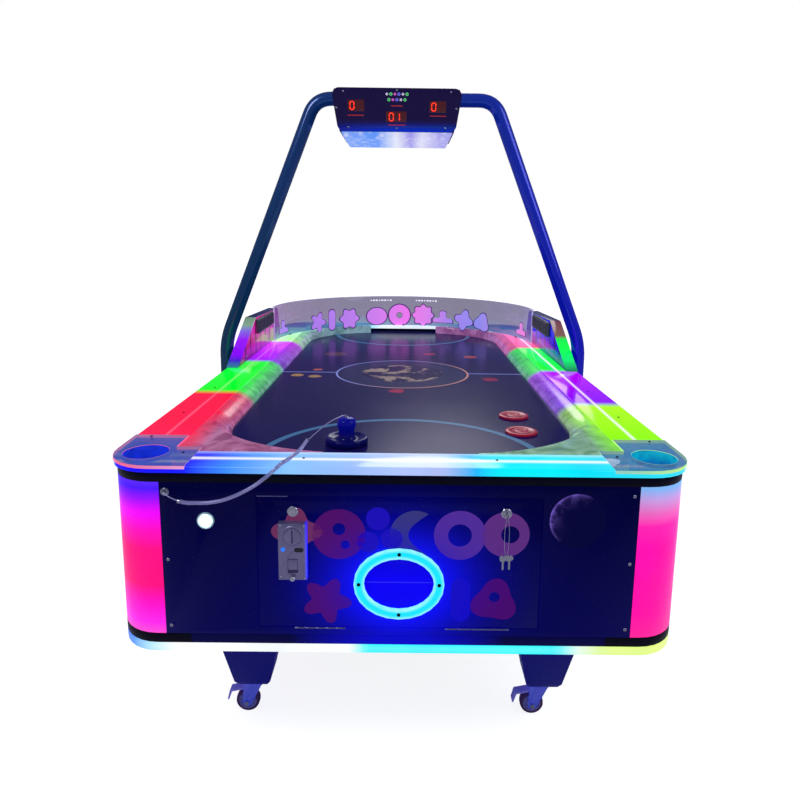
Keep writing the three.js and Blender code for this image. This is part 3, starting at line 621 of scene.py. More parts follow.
def upright_colours(stops):
    """A function of the node tree giving colours by height from stops of (height, hex digits)."""
    return lambda tree: shades(tree, place(tree)[2], sorted(stops), 0.38, 0.745)


corner_stops = {
    "front_left": [(0.384, "ff4ad0"), (0.41, "ff20e8"), (0.45, "ff00c8"), (0.5, "ff0078"), (0.585, "ff0080"),
                   (0.63, "ff00c0"), (0.67, "f000ff"), (0.7, "9a10ff"), (0.725, "4a18ff"), (0.74, "5a28ff")],
    "front_right": [(0.384, "ff1c98"), (0.44, "ff00a0"), (0.6, "ff00a8"), (0.65, "ff20b0"), (0.68, "e868c0"),
                    (0.71, "c49ae0"), (0.735, "80b4f4"), (0.74, "80b4f4")],
    "rear_left": [(0.384, "20c8ff"), (0.5, "2060ff"), (0.6, "6020ff"), (0.74, "b020ff")],
    "rear_right": [(0.384, "30ff90"), (0.5, "10e0ff"), (0.62, "2070ff"), (0.74, "4030ff")],
}
for corner, stops in corner_stops.items():
    light = finished_copy(corner + "_corner_light", 0.0008)
    wear_it(light, acrylic(corner + " corner acrylic", upright_colours(stops), 1.05, 0.12), "table",
            "lit_acrylic",
            corner + "_corner_light")

# ---------------------------------------------------------------- front and rear rails
# Thick milky acrylic with rounded edges over an LED tape, bent round the corners under the plates.

end_stops = [
    (-0.65, -0.9, "3010ff"), (-0.65, -1.1, "1a10ff"), (-0.56, -1.17, "1408ff"), (-0.46, -1.17, "1018ff"),
    (-0.37, -1.17, "3a8cff"), (-0.25, -1.17, "86c2ff"), (-0.05, -1.17, "a6c0ff"), (0.09, -1.17, "b8c8ff"),
    (0.16, -1.17, "20b8ff"), (0.22, -1.17, "00f0ff"), (0.4, -1.17, "00e8ff"), (0.58, -1.17, "30e4ff"),
    (0.65, -1.08, "50d8ff"), (0.65, 0.0, "3060ff"), (0.65, 1.1, "2430ff"), (0.4, 1.17, "1a3cff"),
    (0.22, 1.17, "d8e8ff"), (-0.12, 1.17, "f0f8ff"), (-0.22, 1.17, "20d8ff"), (-0.6, 1.17, "10c8e8"),
    (-0.65, 1.0, "6020ff"), (-0.65, 0.3, "8020ff"), (-0.65, 0.0, "8020ff"),
]
wrap = [(-0.65, -0.0001, "7818ff")]


def rail_hot(sign):
    return [(1, sign * 1.118, 0.008, 0.9, "ffffff"), (1, sign * 1.075, 0.012, 0.35, "e8f4ff")]


for end, sign in (("front", -1), ("rear", 1)):
    rail = finished_copy(end + "_rail", 0.0012)
    rail_finish = acrylic(end + " rail acrylic", ring_colours(end_stops + wrap), 1.0, 0.12, rail_hot(sign))
    wear_it(rail, rail_finish, "table", "lit_acrylic", end + "_rail")

# ---------------------------------------------------------------- side rails
# The same acrylic in one length a side, each with four lengths of colour and a bright line.


def along_colours(stops, low=-1.08, high=1.08):
    """A function of the node tree giving colours along the table from stops of (y, hex digits)."""
    return lambda tree: shades(tree, place(tree)[1], sorted(stops), low, high)


def lengths(parts, blur=0.025):
    """Stops for lengths of even colour, from (start, end, hex at start, hex at end)."""
    return [s for start, end, a, b in parts for s in ((start + blur, a), (end - blur, b))]


side_stops = {
    "left": lengths([(-1.0, -0.502, "ff1c50", "ff0040"), (-0.502, 0.007, "00ff20", "10ff38"),
                     (0.007, 0.491, "9a10ff", "d818ff"), (0.491, 1.0, "b8ff90", "8af0c0")]),
    "right": lengths([(-1.0, -0.61, "8cff00", "b0ff10"), (-0.61, -0.122, "8a00ff", "b400ff"),
                      (-0.122, 0.38, "10ff30", "00ff40"), (0.38, 1.0, "ff5a90", "ff70c0")]),
}
for side, stops in side_stops.items():
    rail = finished_copy(side + "_rail", 0.0015, 2)
    hot = [(0, 0.575, 0.0045, 0.92, "fff0ff")] if side == "right" else [(0, 0.575, 0.004, 0.22, "ffb0e0")]
    wear_it(rail, acrylic(side + " rail acrylic", along_colours(stops), 1.0, 0.1, hot), "table",
            "lit_acrylic",
            side + "_rail")

# ---------------------------------------------------------------- banks
# Formed milky sheets between the side rails and the playing surface, with the rails' light painted on them as a
# streaky glow.


def milk_and_painted_rail_glow(stops):
    """Painted light: the rail's colours as a streaky glow near the rail, fading to the sheet's cloudy milky grey at
    the playing surface.
    """

    def made(tree):
        there = place(tree)
        colour = along_colours(stops)(tree)
        far = sums(tree, "ABSOLUTE", there[0])
        lit = ranged(tree, far, 0.46, 0.505, 0.3, 0.95)
        spot = here(tree)
        streak = noise(tree, spot, 14.0, 4.0, Distortion=1.2)
        lit = sums(tree, "MULTIPLY", lit, ranged(tree, streak, 0.25, 0.7, 0.6, 1.15), True)
        cloudy = ranged(tree, streak, 0.38, 0.62)
        milk = mixed(tree, cloudy, tone("4c4876"), tone("8c88b6"))
        return mixed(tree, lit, milk, colour)

    return made


for side, stops in side_stops.items():
    bank = finished_copy(side + "_bank", 0.001, 2, flat=False)
    milky = finish(side + " bank sheet", milk_and_painted_rail_glow(stops), 0.14, size=40.0, amount=0.15, dust=0.2)
    shines(milky, milk_and_painted_rail_glow(stops), 0.5)
    wear_it(bank, milky, "table", "clear_bank", side + "_bank")

# ---------------------------------------------------------------- corner plates
# Clear acrylic plates with a drop-in cup each, edge-lit, held down by small black screws.


def turned(name, profile, centre, up=(0, 0, 1), steps=40):
    """A turned piece: a profile of (radius, height) in millimetres spun about an axis through centre."""
    mesh = bpy.data.meshes.new(name)
    mesh.from_pydata([(r / 1000, 0, h / 1000) for r, h in profile],
                     [(k, k + 1) for k in range(len(profile) - 1)], [])
    piece = bpy.data.objects.new(name, mesh)
    scene.collection.objects.link(piece)
    only(piece)
    bpy.ops.object.mode_set(mode="EDIT")
    bpy.ops.mesh.select_all(action="SELECT")
    bpy.ops.mesh.spin(steps=steps, angle=2 * math.pi, center=(0, 0, 0), axis=(0, 0, 1))
    bpy.ops.mesh.select_all(action="SELECT")
    bpy.ops.mesh.remove_doubles(threshold=0.000005)
    bpy.ops.mesh.normals_make_consistent(inside=False)
    bpy.ops.object.mode_set(mode="OBJECT")
    turn = Vector(up).to_track_quat("Z", "Y").to_matrix().to_4x4()
    mesh.transform(Matrix.Translation(centre) @ turn)
    bpy.ops.object.shade_smooth_by_angle(angle=math.radians(38))
    return piece


def copied(master, name, at, up=(0, 0, 1)):
    """A copy with its own mesh, moved from the origin and turned from +Z."""
    piece = bpy.data.objects.new(name, master.data.copy())
    scene.collection.objects.link(piece)
    turn = Vector(up).to_track_quat("Z", "Y").to_matrix().to_4x4()
    piece.data.transform(Matrix.Translation(at) @ turn)
    return piece


def joined(name, pieces):
    """Several pieces made one."""
    bpy.ops.object.select_all(action="DESELECT")
    for piece in pieces:
        piece.select_set(True)
    bpy.context.view_layer.objects.active = pieces[0]
    if len(pieces) > 1:
        bpy.ops.object.join()
    pieces[0].name = name
    return pieces[0]


def cut_by(piece, cutter):
    """Takes a cutter's shape out of a piece, and removes the cutter."""
    only(piece)
    cut = piece.modifiers.new("cut", "BOOLEAN")
    cut.operation, cut.object, cut.solver = "DIFFERENCE", cutter, "EXACT"
    bpy.ops.object.modifier_apply(modifier=cut.name)
    bpy.data.objects.remove(cutter)
    return piece


def block(name, low, high):
    """A box between two corners, for cutting or for bevelling."""
    bpy.ops.object.select_all(action="DESELECT")
    middle = [(a + b) / 2 for a, b in zip(low, high)]
    bpy.ops.mesh.primitive_cube_add(size=1.0, location=middle)
    made = bpy.context.object
    made.name = name
    made.scale = [b - a for a, b in zip(low, high)]
    bpy.ops.object.transform_apply(location=True, rotation=True, scale=True)
    return made


def rounded(piece, width, segments=3):
    """Rounds every sharp edge of a piece."""
    only(piece)
    edge = piece.modifiers.new("rounded edge", "BEVEL")
    edge.width, edge.segments = width, segments
    edge.limit_method, edge.angle_limit = "ANGLE", math.radians(30)
    bpy.ops.object.modifier_apply(modifier=edge.name)
    bpy.ops.object.shade_smooth_by_angle(angle=math.radians(40))
    return piece


# One pan-head screw with a cross recess, head upwards on the origin; the rest are its copies.
screw = turned("screw_pattern", [(0, -0.6), (3.6, -0.6), (3.7, 0.6), (3.0, 1.7), (1.8, 2.3), (0, 2.5)],
               (0, 0, 0), steps=20)
for low, high in (((-0.0022, -0.00045, 0.0012), (0.0022, 0.00045, 0.004)),
                  ((-0.00045, -0.0022, 0.0012), (0.00045, 0.0022, 0.004))):
    cut_by(screw, block("recess", low, high))
screw.hide_render = screw.hide_viewport = True


def screws(name, places, up, body, material, slot, size=1.0):
    """Screws at the given points, made one piece."""
    made = [copied(screw, name, (0, 0, 0)) for _ in places]
    turn = Vector(up).to_track_quat("Z", "Y").to_matrix().to_4x4()
    for k, (one, at) in enumerate(zip(made, places)):
        spin = Matrix.Rotation(0.7 * k, 4, "Z")
        one.data.transform(Matrix.Translation(at) @ turn @ spin @ Matrix.Scale(size, 4))
    return wear_it(joined(name, made), material, body, slot)


black_steel = finish("black screw", "0a0a14", 0.35, 0.6, size=300.0, amount=0.3)
plate_cups = {"front_left": "1c3cff", "front_right": "08c8e0", "rear_left": "7a30ff", "rear_right": "2030ff"}
clear_plate = finish("clear plate", "5a6c9c", 0.06, size=90.0, amount=0.1, dust=0.3, Alpha=0.62, IOR=1.49)
# Painted light: the clear plates glow blue, and their edges glow in pinks, greens and violets.
shines(clear_plate, "28407c", 0.6)
plate_edge = acrylic("plate edge", ring_colours([
    (-0.65, -0.95, "ff90c0"), (-0.6, -1.15, "ff6a9a"), (-0.45, -1.1, "f0a0d0"), (0.45, -1.1, "a0e0d0"),
    (0.6, -1.15, "c8ff90"), (0.65, -0.95, "b0e8a0"), (0.65, 0.95, "ff90b0"), (-0.65, 0.95, "c090ff")]), 0.85,
    0.1)
for corner, cup_code in plate_cups.items():
    plate = finished_copy(corner + "_corner_plate", 0.0012, 2)
    wear_it(plate, clear_plate, "table", "clear_acrylic", corner + "_corner_plate")
    cup = finish(corner + " cup", "0a1450", 0.12, size=60.0, amount=0.2, Specular_IOR_Level=0.3)
    # Painted light: each cup glows, with painted shading by height, a mid blue low down and its corner colour mottled
    # with dark near the top.
    shines(cup, lambda tree, code=cup_code: mixed(
        tree, ranged(tree, place(tree)[2], 0.722, 0.772),
        tone("0818a8"), mixed(tree, noise(tree, here(tree), 36.0, 2.0),
                              tone("081468"), tone(code))), 1.0)
    plate.data.materials.append(plate_edge)
    plate.data.materials.append(cup)
    for face in plate.data.polygons:
        if face.center.z < 0.7715:
            face.material_index = 2
        elif abs(face.normal.z) < 0.75:
            face.material_index = 1
    x, y = (-1 if "left" in corner else 1), (-1 if "front" in corner else 1)
    screws(corner + "_plate_screws", [(x * 0.606, y * 0.967, 0.7803), (x * 0.49, y * 1.083, 0.7803)],
           (0, 0, 1), "table", black_steel, "black_trim", 0.85)

for end, y in (("front", -1.113), ("rear", 1.113)):
    screws(end + "_rail_screws", [(-0.214, y, 0.7803), (0.214, y, 0.7803)], (0, 0, 1), "table",
           black_steel, "black_trim", 0.8)
for side, x in (("left", -1), ("right", 1)):
    screws(side + "_rail_screws", [(x * 0.6, y, 0.7803) for y in (-0.75, -0.45)], (0, 0, 1), "table",
           black_steel, "black_trim", 0.8)

# ---------------------------------------------------------------- playing surface
# A laminate board drilled with fine air holes, with printed lines and a planet in the centre circle.

hole_columns, hole_rows = 34, 70
surface_low, surface_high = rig.box("playfield")
cell = [(surface_high.x - surface_low.x) / hole_columns, (surface_high.y - surface_low.y) / hole_rows]
bpy.ops.object.select_all(action="DESELECT")
bpy.ops.mesh.primitive_plane_add(size=1.0,
                                 location=(surface_low.x + cell[0] / 2, surface_low.y + cell[1] / 2,
                                           surface_high.z))
surface = bpy.context.object
surface.name = "playing_surface"
surface.scale = (*cell, 1.0)
bpy.ops.object.transform_apply(location=True, rotation=True, scale=True)
bpy.ops.object.mode_set(mode="EDIT")
bpy.ops.mesh.subdivide(number_cuts=1)
bpy.ops.mesh.select_all(action="DESELECT")
bpy.ops.mesh.select_mode(type="VERT")
bpy.ops.object.mode_set(mode="OBJECT")
centre = Vector((surface_low.x + cell[0] / 2, surface_low.y + cell[1] / 2, surface_high.z))
for corner in surface.data.vertices:
    corner.select = (corner.co - centre).length < 0.0001
bpy.ops.object.mode_set(mode="EDIT")
bpy.ops.mesh.bevel(offset=0.0011, segments=2, affect="VERTICES")
bpy.ops.mesh.select_mode(type="FACE")
bpy.ops.object.mode_set(mode="OBJECT")
for face in surface.data.polygons:
    face.select = (face.center - centre).length < 0.0005
bpy.ops.object.mode_set(mode="EDIT")
bpy.ops.mesh.extrude_region_move(TRANSFORM_OT_translate={"value": (0, 0, -0.003)})
bpy.ops.object.mode_set(mode="OBJECT")
for count, step in ((hole_columns, (cell[0], 0, 0)), (hole_rows, (0, cell[1], 0))):
    rows = surface.modifiers.new("rows", "ARRAY")
    rows.count, rows.use_relative_offset, rows.use_constant_offset = count, False, True
    rows.constant_offset_displace = step
    rows.use_merge_vertices, rows.merge_threshold = True, 0.00005
    bpy.ops.object.modifier_apply(modifier=rows.name)
bpy.ops.object.mode_set(mode="EDIT")
bpy.ops.mesh.select_mode(type="EDGE")
bpy.ops.mesh.select_all(action="DESELECT")
bpy.ops.mesh.select_non_manifold()
bpy.ops.mesh.extrude_region_move(TRANSFORM_OT_translate={"value": (0, 0, surface_low.z - surface_high.z)})
bpy.ops.mesh.edge_face_add()
bpy.ops.mesh.select_all(action="SELECT")
bpy.ops.mesh.normals_make_consistent(inside=False)
bpy.ops.object.mode_set(mode="OBJECT")


def band(tree, value, middle, half, soft=0.0008):
    """1 where a value is within half of middle, with a soft edge."""
    off = sums(tree, "ABSOLUTE", sums(tree, "SUBTRACT", value, middle))
    return ranged(tree, off, half + soft, half - soft, 0.0, 1.0)


def reach(tree, x, y, at):
    """The distance of (x, y) from a point."""
    dx, dy = sums(tree, "SUBTRACT", x, at[0]), sums(tree, "SUBTRACT", y, at[1])
    square = sums(tree, "ADD", times(tree, dx, dx), times(tree, dy, dy))
    return sums(tree, "SQRT", square)


def surface_print(tree):
    there = place(tree)
    x, y = there[0], there[1]
    spot = here(tree)
    cloud = noise(tree, spot, 2.2, 3.0)
    colour = mixed(tree, cloud, tone("0c0838"), tone("18144e"))
    radius = reach(tree, x, y, (0.0, 0.0))
    inside = band(tree, radius, 0.0, 0.25)
    # the planet: fine rings, seas and pale land
    fine_rings = band(tree, sums(tree, "PINGPONG", radius, 0.004), 0.0, 0.0006, 0.0004)
    ring_zone = times(tree, fine_rings, band(tree, radius, 0.2, 0.045))
    colour = mixed(tree, times(tree, inside, 0.5), colour, tone("14163a"))
    colour = mixed(tree, times(tree, ring_zone, 0.45), colour, tone("6070a0"))
    land = noise(tree, spot, 9.5, 6.0, Roughness=0.62, Distortion=0.4)
    land = ranged(tree, land, 0.5, 0.54)
    land = times(tree, land, band(tree, radius, 0.0, 0.155, 0.01))
    tan = noise(tree, spot, 40.0, 3.0)
    colour = mixed(tree, times(tree, land, 0.9), colour, mixed(tree, tan, tone("6a6070"), tone("b4a078")))
    # printed lines
    warm = ranged(tree, sums(tree, "ADD", x, times(tree, y, -0.6)), -0.1, 0.15)
    edge_line = band(tree, radius, 0.254, 0.0035)
    colour = mixed(tree, edge_line, colour, mixed(tree, warm, tone("8090c8"), tone("c08a78")))
    outside = sums(tree, "GREATER_THAN", radius, 0.2555)
    middle_line = times(tree, band(tree, y, 0.0, 0.0045), outside)
    colour = mixed(tree, middle_line, colour, tone("7c8cc8"))
    for end in (-1, 1):
        goal = reach(tree, x, y, (0.0, end * 1.0086))
        colour = mixed(tree, times(tree, band(tree, goal, 0.35, 0.0095), 0.9), colour, tone("3f7090"))
    for at, size, code in (((-0.4, -0.06), 0.022, "b08848"), ((-0.33, -0.075), 0.024, "a88450"),
                           ((-0.335, 0.05), 0.018, "b06040"),
                           ((0.33, -0.1), 0.03, "8a2040"), ((-0.02, -0.3), 0.026, "a01c44"),
                           ((0.3, 0.36), 0.03, "a04838"),
                           ((-0.3, 0.4), 0.05, "5a3c40"), ((0.12, 0.42), 0.028, "8a2838")):
        blob = sums(tree, "ADD", reach(tree, x, y, at), times(tree, sums(tree, "SUBTRACT", tan, 0.5), 0.02))
        colour = mixed(tree, times(tree, band(tree, blob, 0.0, size, 0.004), 0.8), colour, tone(code))
    return colour


laminate = finish("printed laminate", surface_print, 0.2, size=240.0, amount=0.12, dust=0.15, bump=0.01,
                  Specular_IOR_Level=0.05)
# Painted light: the print also glows, tinted blue-violet.
shines(laminate, lambda tree: mixed(tree, 1.0, surface_print(tree), (0.8, 0.75, 1.0, 1.0), "MULTIPLY"), 0.6)
wear_it(surface, laminate, "table", "play_laminate", "playfield")

# ---------------------------------------------------------------- coin door
# A printed steel door on a bottom hinge, with two locks, the coin acceptor and the lit outlet.

door_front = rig.box("service_door")[0].y
door = finished_copy("service_door", 0.0014, 2)
door_film = finish("door film", "00000e", 0.14, size=120.0, amount=0.16, dust=0.12, bump=0.01,
                   Specular_IOR_Level=0.1)
# Painted light: the same faint blue glow as the panels, with the outlet's blue light painted round it.
shines(door_film, film_light("000040", 0.75), 1.0)
wear_it(door, door_film, "door", "black_board", "service_door")


def circle_loop(radius, at=(0.0, 0.0), count=40, squash=1.0):
    return [(at[0] + radius * math.cos(2 * math.pi * k / count),
             at[1] + radius * squash * math.sin(2 * math.pi * k / count)) for k in range(count)]


def bar_loop(length, width, turn=0.0, at=(0.0, 0.0), count=9):
    """A bar with round ends, turned by an angle in degrees."""
    half, radius, angle = (length - width) / 2, width / 2, math.radians(turn)
    loop = [(sign * half + radius * math.cos(a), radius * math.sin(a)) for sign, first in ((1, -90), (-1, 90))
            for a in (math.radians(first + 180 * k / count) for k in range(count + 1))]
    return [(at[0] + x * math.cos(angle) - y * math.sin(angle),
             at[1] + x * math.sin(angle) + y * math.cos(angle))
            for x, y in loop]


def petal_loop(radius, petals, depth, at=(0.0, 0.0), count=72, turn=0.0):
    """A soft star or flower."""
    return [(at[0] + r * math.cos(a), at[1] + r * math.sin(a)) for a, r in (
        (2 * math.pi * k / count,
         radius * (1 - depth * (0.5 - 0.5 * math.cos(petals * 2 * math.pi * k / count + turn))))
        for k in range(count))]


def moon_loop(radius, bite, count=28):
    """A crescent, open to the right."""
    tip = 1.05
    outer = [(radius * math.cos(a), radius * math.sin(a))
             for a in (tip + (2 * math.pi - 2 * tip) * k / count for k in range(count + 1))]
    x0, y0 = outer[-1]
    inner = [(x0 - bite * radius * math.sin(math.pi * k / count), y0 - 2 * y0 * k / count)
             for k in range(1, count)]
    return outer + inner


def flat_shape(name, loops, centre, normal, thickness, edge=0.0, up=(0, 0, 1)):
    """A flat piece of even thickness from loops of points, standing on a plane at centre."""
    curve = bpy.data.curves.new(name, "CURVE")
    curve.dimensions, curve.fill_mode = "2D", "BOTH"
    curve.extrude, curve.bevel_depth, curve.offset = thickness / 2 - edge, edge, -edge
    for loop in loops:
        spline = curve.splines.new("POLY")
        spline.points.add(len(loop) - 1)
        spline.use_cyclic_u = True
        for point, (x, y) in zip(spline.points, loop):
            point.co = (x, y, 0.0, 1.0)
    piece = bpy.data.objects.new(name, curve)
    scene.collection.objects.link(piece)
    only(piece)
    bpy.ops.object.convert(target="MESH")
    piece = bpy.context.object
    out, top = Vector(normal).normalized(), Vector(up)
    top = (top - out * top.dot(out)).normalized()
    right = top.cross(out)
    turn = Matrix((right, top, out)).transposed().to_4x4()
    piece.data.transform(Matrix.Translation(Vector(centre) + out * thickness / 2) @ turn)
    bpy.ops.object.mode_set(mode="EDIT")
    bpy.ops.mesh.select_all(action="SELECT")
    bpy.ops.mesh.remove_doubles(threshold=0.000002)
    bpy.ops.mesh.normals_make_consistent(inside=False)
    bpy.ops.object.mode_set(mode="OBJECT")
    bpy.ops.object.shade_smooth_by_angle(angle=math.radians(30))
    return piece


print_thickness = 0.0003
door_prints = [
    ("plum_flower", [petal_loop(0.056, 4, 0.35), circle_loop(0.014)], -0.224, 0.63, "8a3c70"),
    ("plum_disc", [circle_loop(0.058), circle_loop(0.014, (0.0, 0.012)), circle_loop(0.01, (0.014, -0.024))],
     -0.132, 0.625, "66107c"),
    ("blue_discs", [circle_loop(0.024, (-0.024, -0.022)), circle_loop(0.024, (0.028, -0.014)),
                    circle_loop(0.026, (-0.002, 0.032))], -0.045, 0.63, "2410e8"),
    ("grey_moon", [moon_loop(0.056, 0.78)], 0.035, 0.625, "4a4a90"),
    ("violet_ring", [circle_loop(0.057), circle_loop(0.026)], 0.132, 0.625, "6a3cc0"),
    ("violet_bead", [circle_loop(0.052), circle_loop(0.02, (0.01, 0.0))], 0.232, 0.628, "783ca0"),
    ("plum_star", [petal_loop(0.056, 5, 0.4, turn=0.6)], -0.16, 0.468, "640c78"),
    ("blue_post", [bar_loop(0.104, 0.042, 90)], 0.137, 0.472, "1004ff"),
    ("plum_cloud", [petal_loop(0.055, 3, 0.28, turn=2.0), circle_loop(0.012, (0.0, 0.01))], 0.212, 0.47,
     "5c0484"),
]
for name, loops, x, z, code in door_prints:
    shape = flat_shape("print_" + name, loops, (x, door_front, z), (0, -1, 0), print_thickness)
    ink = finish("ink " + name.replace("_", " "), "08020c", 0.14, size=120.0, amount=0.2, dust=0.12,
                 Specular_IOR_Level=0.1)

    # Painted light: the print glows in its colour, turning to the outlet's blue light near the outlet.
    def ink_light(tree, code=code):
        near = node(tree, "Group", {"Reach": 0.7}, node_tree=outlet_glow).outputs[0]
        return mixed(tree, sums(tree, "MULTIPLY", near, 0.75, True), tone(code), tone("2018ff"))

    wear_it(shape, shines(ink, ink_light, 0.55), "door", "black_board")

# the dim printed planet beside the door, its print given as a painted glow
planet_at = (0.387, 0.662)
planet = flat_shape("print_planet", [circle_loop(0.061, count=72)], (planet_at[0], -1.162, planet_at[1]),
                    (0, -1, 0), print_thickness)


def planet_light(tree):
    there = place(tree)
    dx = sums(tree, "DIVIDE", sums(tree, "SUBTRACT", there[0], planet_at[0]), 0.061)
    dz = sums(tree, "DIVIDE", sums(tree, "SUBTRACT", there[2], planet_at[1]), 0.061)
    around_it = across_both(tree, dx, dz)
    side = sums(tree, "ADD", times(tree, dx, -0.75), times(tree, dz, 0.5))
    lit = times(tree, sums(tree, "MAXIMUM", side, 0.0), sums(tree, "POWER", around_it, 4.0))
    spot = here(tree)
    ground = noise(tree, spot, 48.0, 6.0, Roughness=0.7)
    ground = ranged(tree, ground, 0.46, 0.6, 0.12, 1.0)
    rim = ranged(tree, around_it, 0.9, 0.98, 0.0, 0.55)
    rim = times(tree, rim, sums(tree, "MAXIMUM", side, 0.0))
    return mixed(tree, sums(tree, "ADD", times(tree, lit, ground), rim, True), tone("000038"), tone("7058c0"))


planet_ink = shines(finish("ink planet", "000008", 0.14, size=120.0, dust=0.05, Specular_IOR_Level=0.1),
                    planet_light, 0.9)
wear_it(planet, planet_ink, "table", "black_board")

# hinge: rolled steel knuckles below the door, given a painted glow where the light catches them
hinge_steel_painted_bright = shines(finish("hinge steel", "6a6a90", 0.3, 0.8, size=300.0, amount=0.4), "30305c", 0.5)
for name, low, high in (("left", -0.232, -0.118), ("right", 0.104, 0.248)):
    knuckles = []
    count = 5
    for k in range(count):
        start = low + (high - low) * k / count
        length = (high - low) / count * 940
        knuckles.append(turned("knuckle",
                               [(0, 0), (1.6, 0), (1.9, 0.5), (1.9, length - 0.5), (1.6, length),
                                (0, length)],
                               (start, door_front - 0.0012, 0.4014), up=(1, 0, 0), steps=12))
    wear_it(joined(name + "_hinge_knuckles", knuckles), hinge_steel_painted_bright, "table", "bright_steel")
# Painted highlight: a thin glowing steel strip along the door's top edge, standing in for its catch-light.
door_edge_painted_highlight = rounded(block("door_edge_highlight_strip", (-0.309, door_front - 0.0022, 0.7105), (-0.242, door_front, 0.7125)),
               0.0006, 2)
wear_it(door_edge_painted_highlight, hinge_steel_painted_bright, "table", "bright_steel")

# outlet rim: a lit acrylic oval with four black screws
rim = finished_copy("outlet_rim", 0.0022, 3)


def rim_colours(tree):
    there = place(tree)
    across = sums(tree, "DIVIDE", there[0], 0.0888)
    up = sums(tree, "DIVIDE", sums(tree, "SUBTRACT", there[2], 0.511), 0.0718)
    off = across_both(tree, across, up)
    pale = ranged(tree, sums(tree, "ABSOLUTE", sums(tree, "SUBTRACT", off, 1.0)), 0.05, 0.13)
    spot = here(tree)
    uneven = noise(tree, spot, 60.0, 2.0)
    pale = sums(tree, "MULTIPLY", pale, sums(tree, "ADD", uneven, 0.2), True)
    return mixed(tree, pale, tone("00e4ff"), tone("a8fcff"))


rim_finish = shines(finish("outlet rim acrylic", "063c70", 0.15, size=80.0, amount=0.1), rim_colours, 1.0)
wear_it(rim, rim_finish, "door", "lit_acrylic", "outlet_rim")
rim_low, rim_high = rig.box("outlet_rim")
rim_mid = (rim_low + rim_high) / 2
rim_places = [(rim_mid.x, rim_low.y, rim_high.z - 0.0113), (rim_mid.x, rim_low.y, rim_low.z + 0.0113),
              (rim_low.x + 0.0113, rim_low.y, rim_mid.z), (rim_high.x - 0.0113, rim_low.y, rim_mid.z)]
screws("outlet_rim_screws", rim_places, (0, -1, 0), "door", black_steel, "black_trim", 1.15)

# locks: chromed heads with a keyhole in a turning plug
chrome = finish("chrome", "c8c8d8", 0.14, 1.0, size=300.0, amount=0.3)
for side, x in (("left", -0.231), ("right", 0.231)):
    body = side + "_lock"
    barrel = finished_copy(body, 0.0006, 2)
    wear_it(barrel, chrome, body, "bright_steel", body)
    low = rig.box(body)[0]
    centre = ((-0.231 if side == "left" else 0.231), low.y, 0.679)
    face = turned(side + "_lock_face",
                  [(0, -1), (11.4, -1), (11.6, 0.2), (11.0, 0.9), (8.2, 1.1), (7.6, 0.3), (7.0, 0.3),
                   (6.6, 1.2), (0, 1.4)],
                  centre, up=(0, -1, 0), steps=36)
    cut_by(face, block("keyhole", (centre[0] - 0.0011, low.y - 0.004, 0.6745),
                       (centre[0] + 0.0011, low.y + 0.0006, 0.6835)))
    wear_it(face, chrome, body, "bright_steel")

# a key in the right lock, with a wire loop and two small keys hanging from it
key_x, key_y, key_z = 0.231, -1.1695, 0.679
blade = rounded(block("key_blade", (key_x - 0.0008, key_y - 0.007, key_z - 0.004),
                      (key_x + 0.0008, key_y + 0.001, key_z + 0.004)), 0.0003, 1)
bow = flat_shape("key_bow", [circle_loop(0.009, count=28), circle_loop(0.0022, (0.0, -0.0055), 12)],
                 (key_x - 0.0008, key_y - 0.0135, key_z), (1, 0, 0), 0.0016)
loop_points = [Vector((key_x + 0.005 * math.sin(a), key_y - 0.0135, key_z - 0.047 + 0.0415 * math.cos(a)))
               for a in (2 * math.pi * k / 40 for k in range(40))]
loop = tube("key_loop", loop_points, 0.0006, 1, closed=True)
hung = []
for k, (dx, turn) in enumerate(((-0.007, 14), (0.007, -12))):
    head = flat_shape("hung_key",
                      [petal_loop(0.0085, 3, 0.12, (0, -0.009)), circle_loop(0.002, (0, -0.003), 12)],
                      (key_x + dx, key_y - 0.0142 + 0.0018 * k, key_z - 0.086), (0, -1, 0), 0.0015)
    stem = flat_shape("hung_key", [bar_loop(0.022, 0.0042, 90, (0, -0.025))],
                      (key_x + dx, key_y - 0.0142 + 0.0018 * k, key_z - 0.086), (0, -1, 0), 0.0014)
    hung += [head, stem]
wear_it(joined("hanging_keys", [blade, bow, loop, *hung]), steel, "right_lock", "bright_steel")

# coin acceptor: a pressed front plate with a slotted dial, a return cup and its flap
acceptor = finished_copy("coin_acceptor", 0.0009, 2)
plate_steel = finish("acceptor steel", "8c86a8", 0.34, 0.9, size=700.0, amount=0.5, dust=0.4, bump=0.08)
# Painted light: the steel glows a dull grey-violet, turning to a blue glow along its right edge.
shines(plate_steel, lambda tree: mixed(tree, ranged(tree, place(tree)[0], -0.206, -0.2),
                                       tone("26243c"), tone("1418ff")), 0.9)
wear_it(acceptor, plate_steel, "door", "bright_steel", "coin_acceptor")
flap = finished_copy("coin_return_flap", 0.0006, 2)
wear_it(flap, plate_steel, "coin_flap", "bright_steel", "coin_return_flap")
plate_front, dial_z = -1.1793, 0.627
ring = turned("dial_ring",
              [(19.6, -0.4), (23.4, -0.4), (24.0, 0.5), (23.2, 1.3), (20.4, 1.3), (19.6, 0.5), (19.6, -0.4)],
              (-0.231, plate_front, dial_z), up=(0, -1, 0))
wear_it(ring, plate_steel, "door", "bright_steel")
lens = turned("coin_lamp", [(0, -0.5), (4.4, -0.5), (4.4, 0.6), (3.6, 2.0), (1.8, 2.8), (0, 3.0)],
              (-0.2515, plate_front, 0.5965), up=(0, -1, 0), steps=24)
wear_it(lens, shines(finish("coin lamp lens", "2060ff", 0.1), "1a6cff", 1.2), "door", "button_lens")
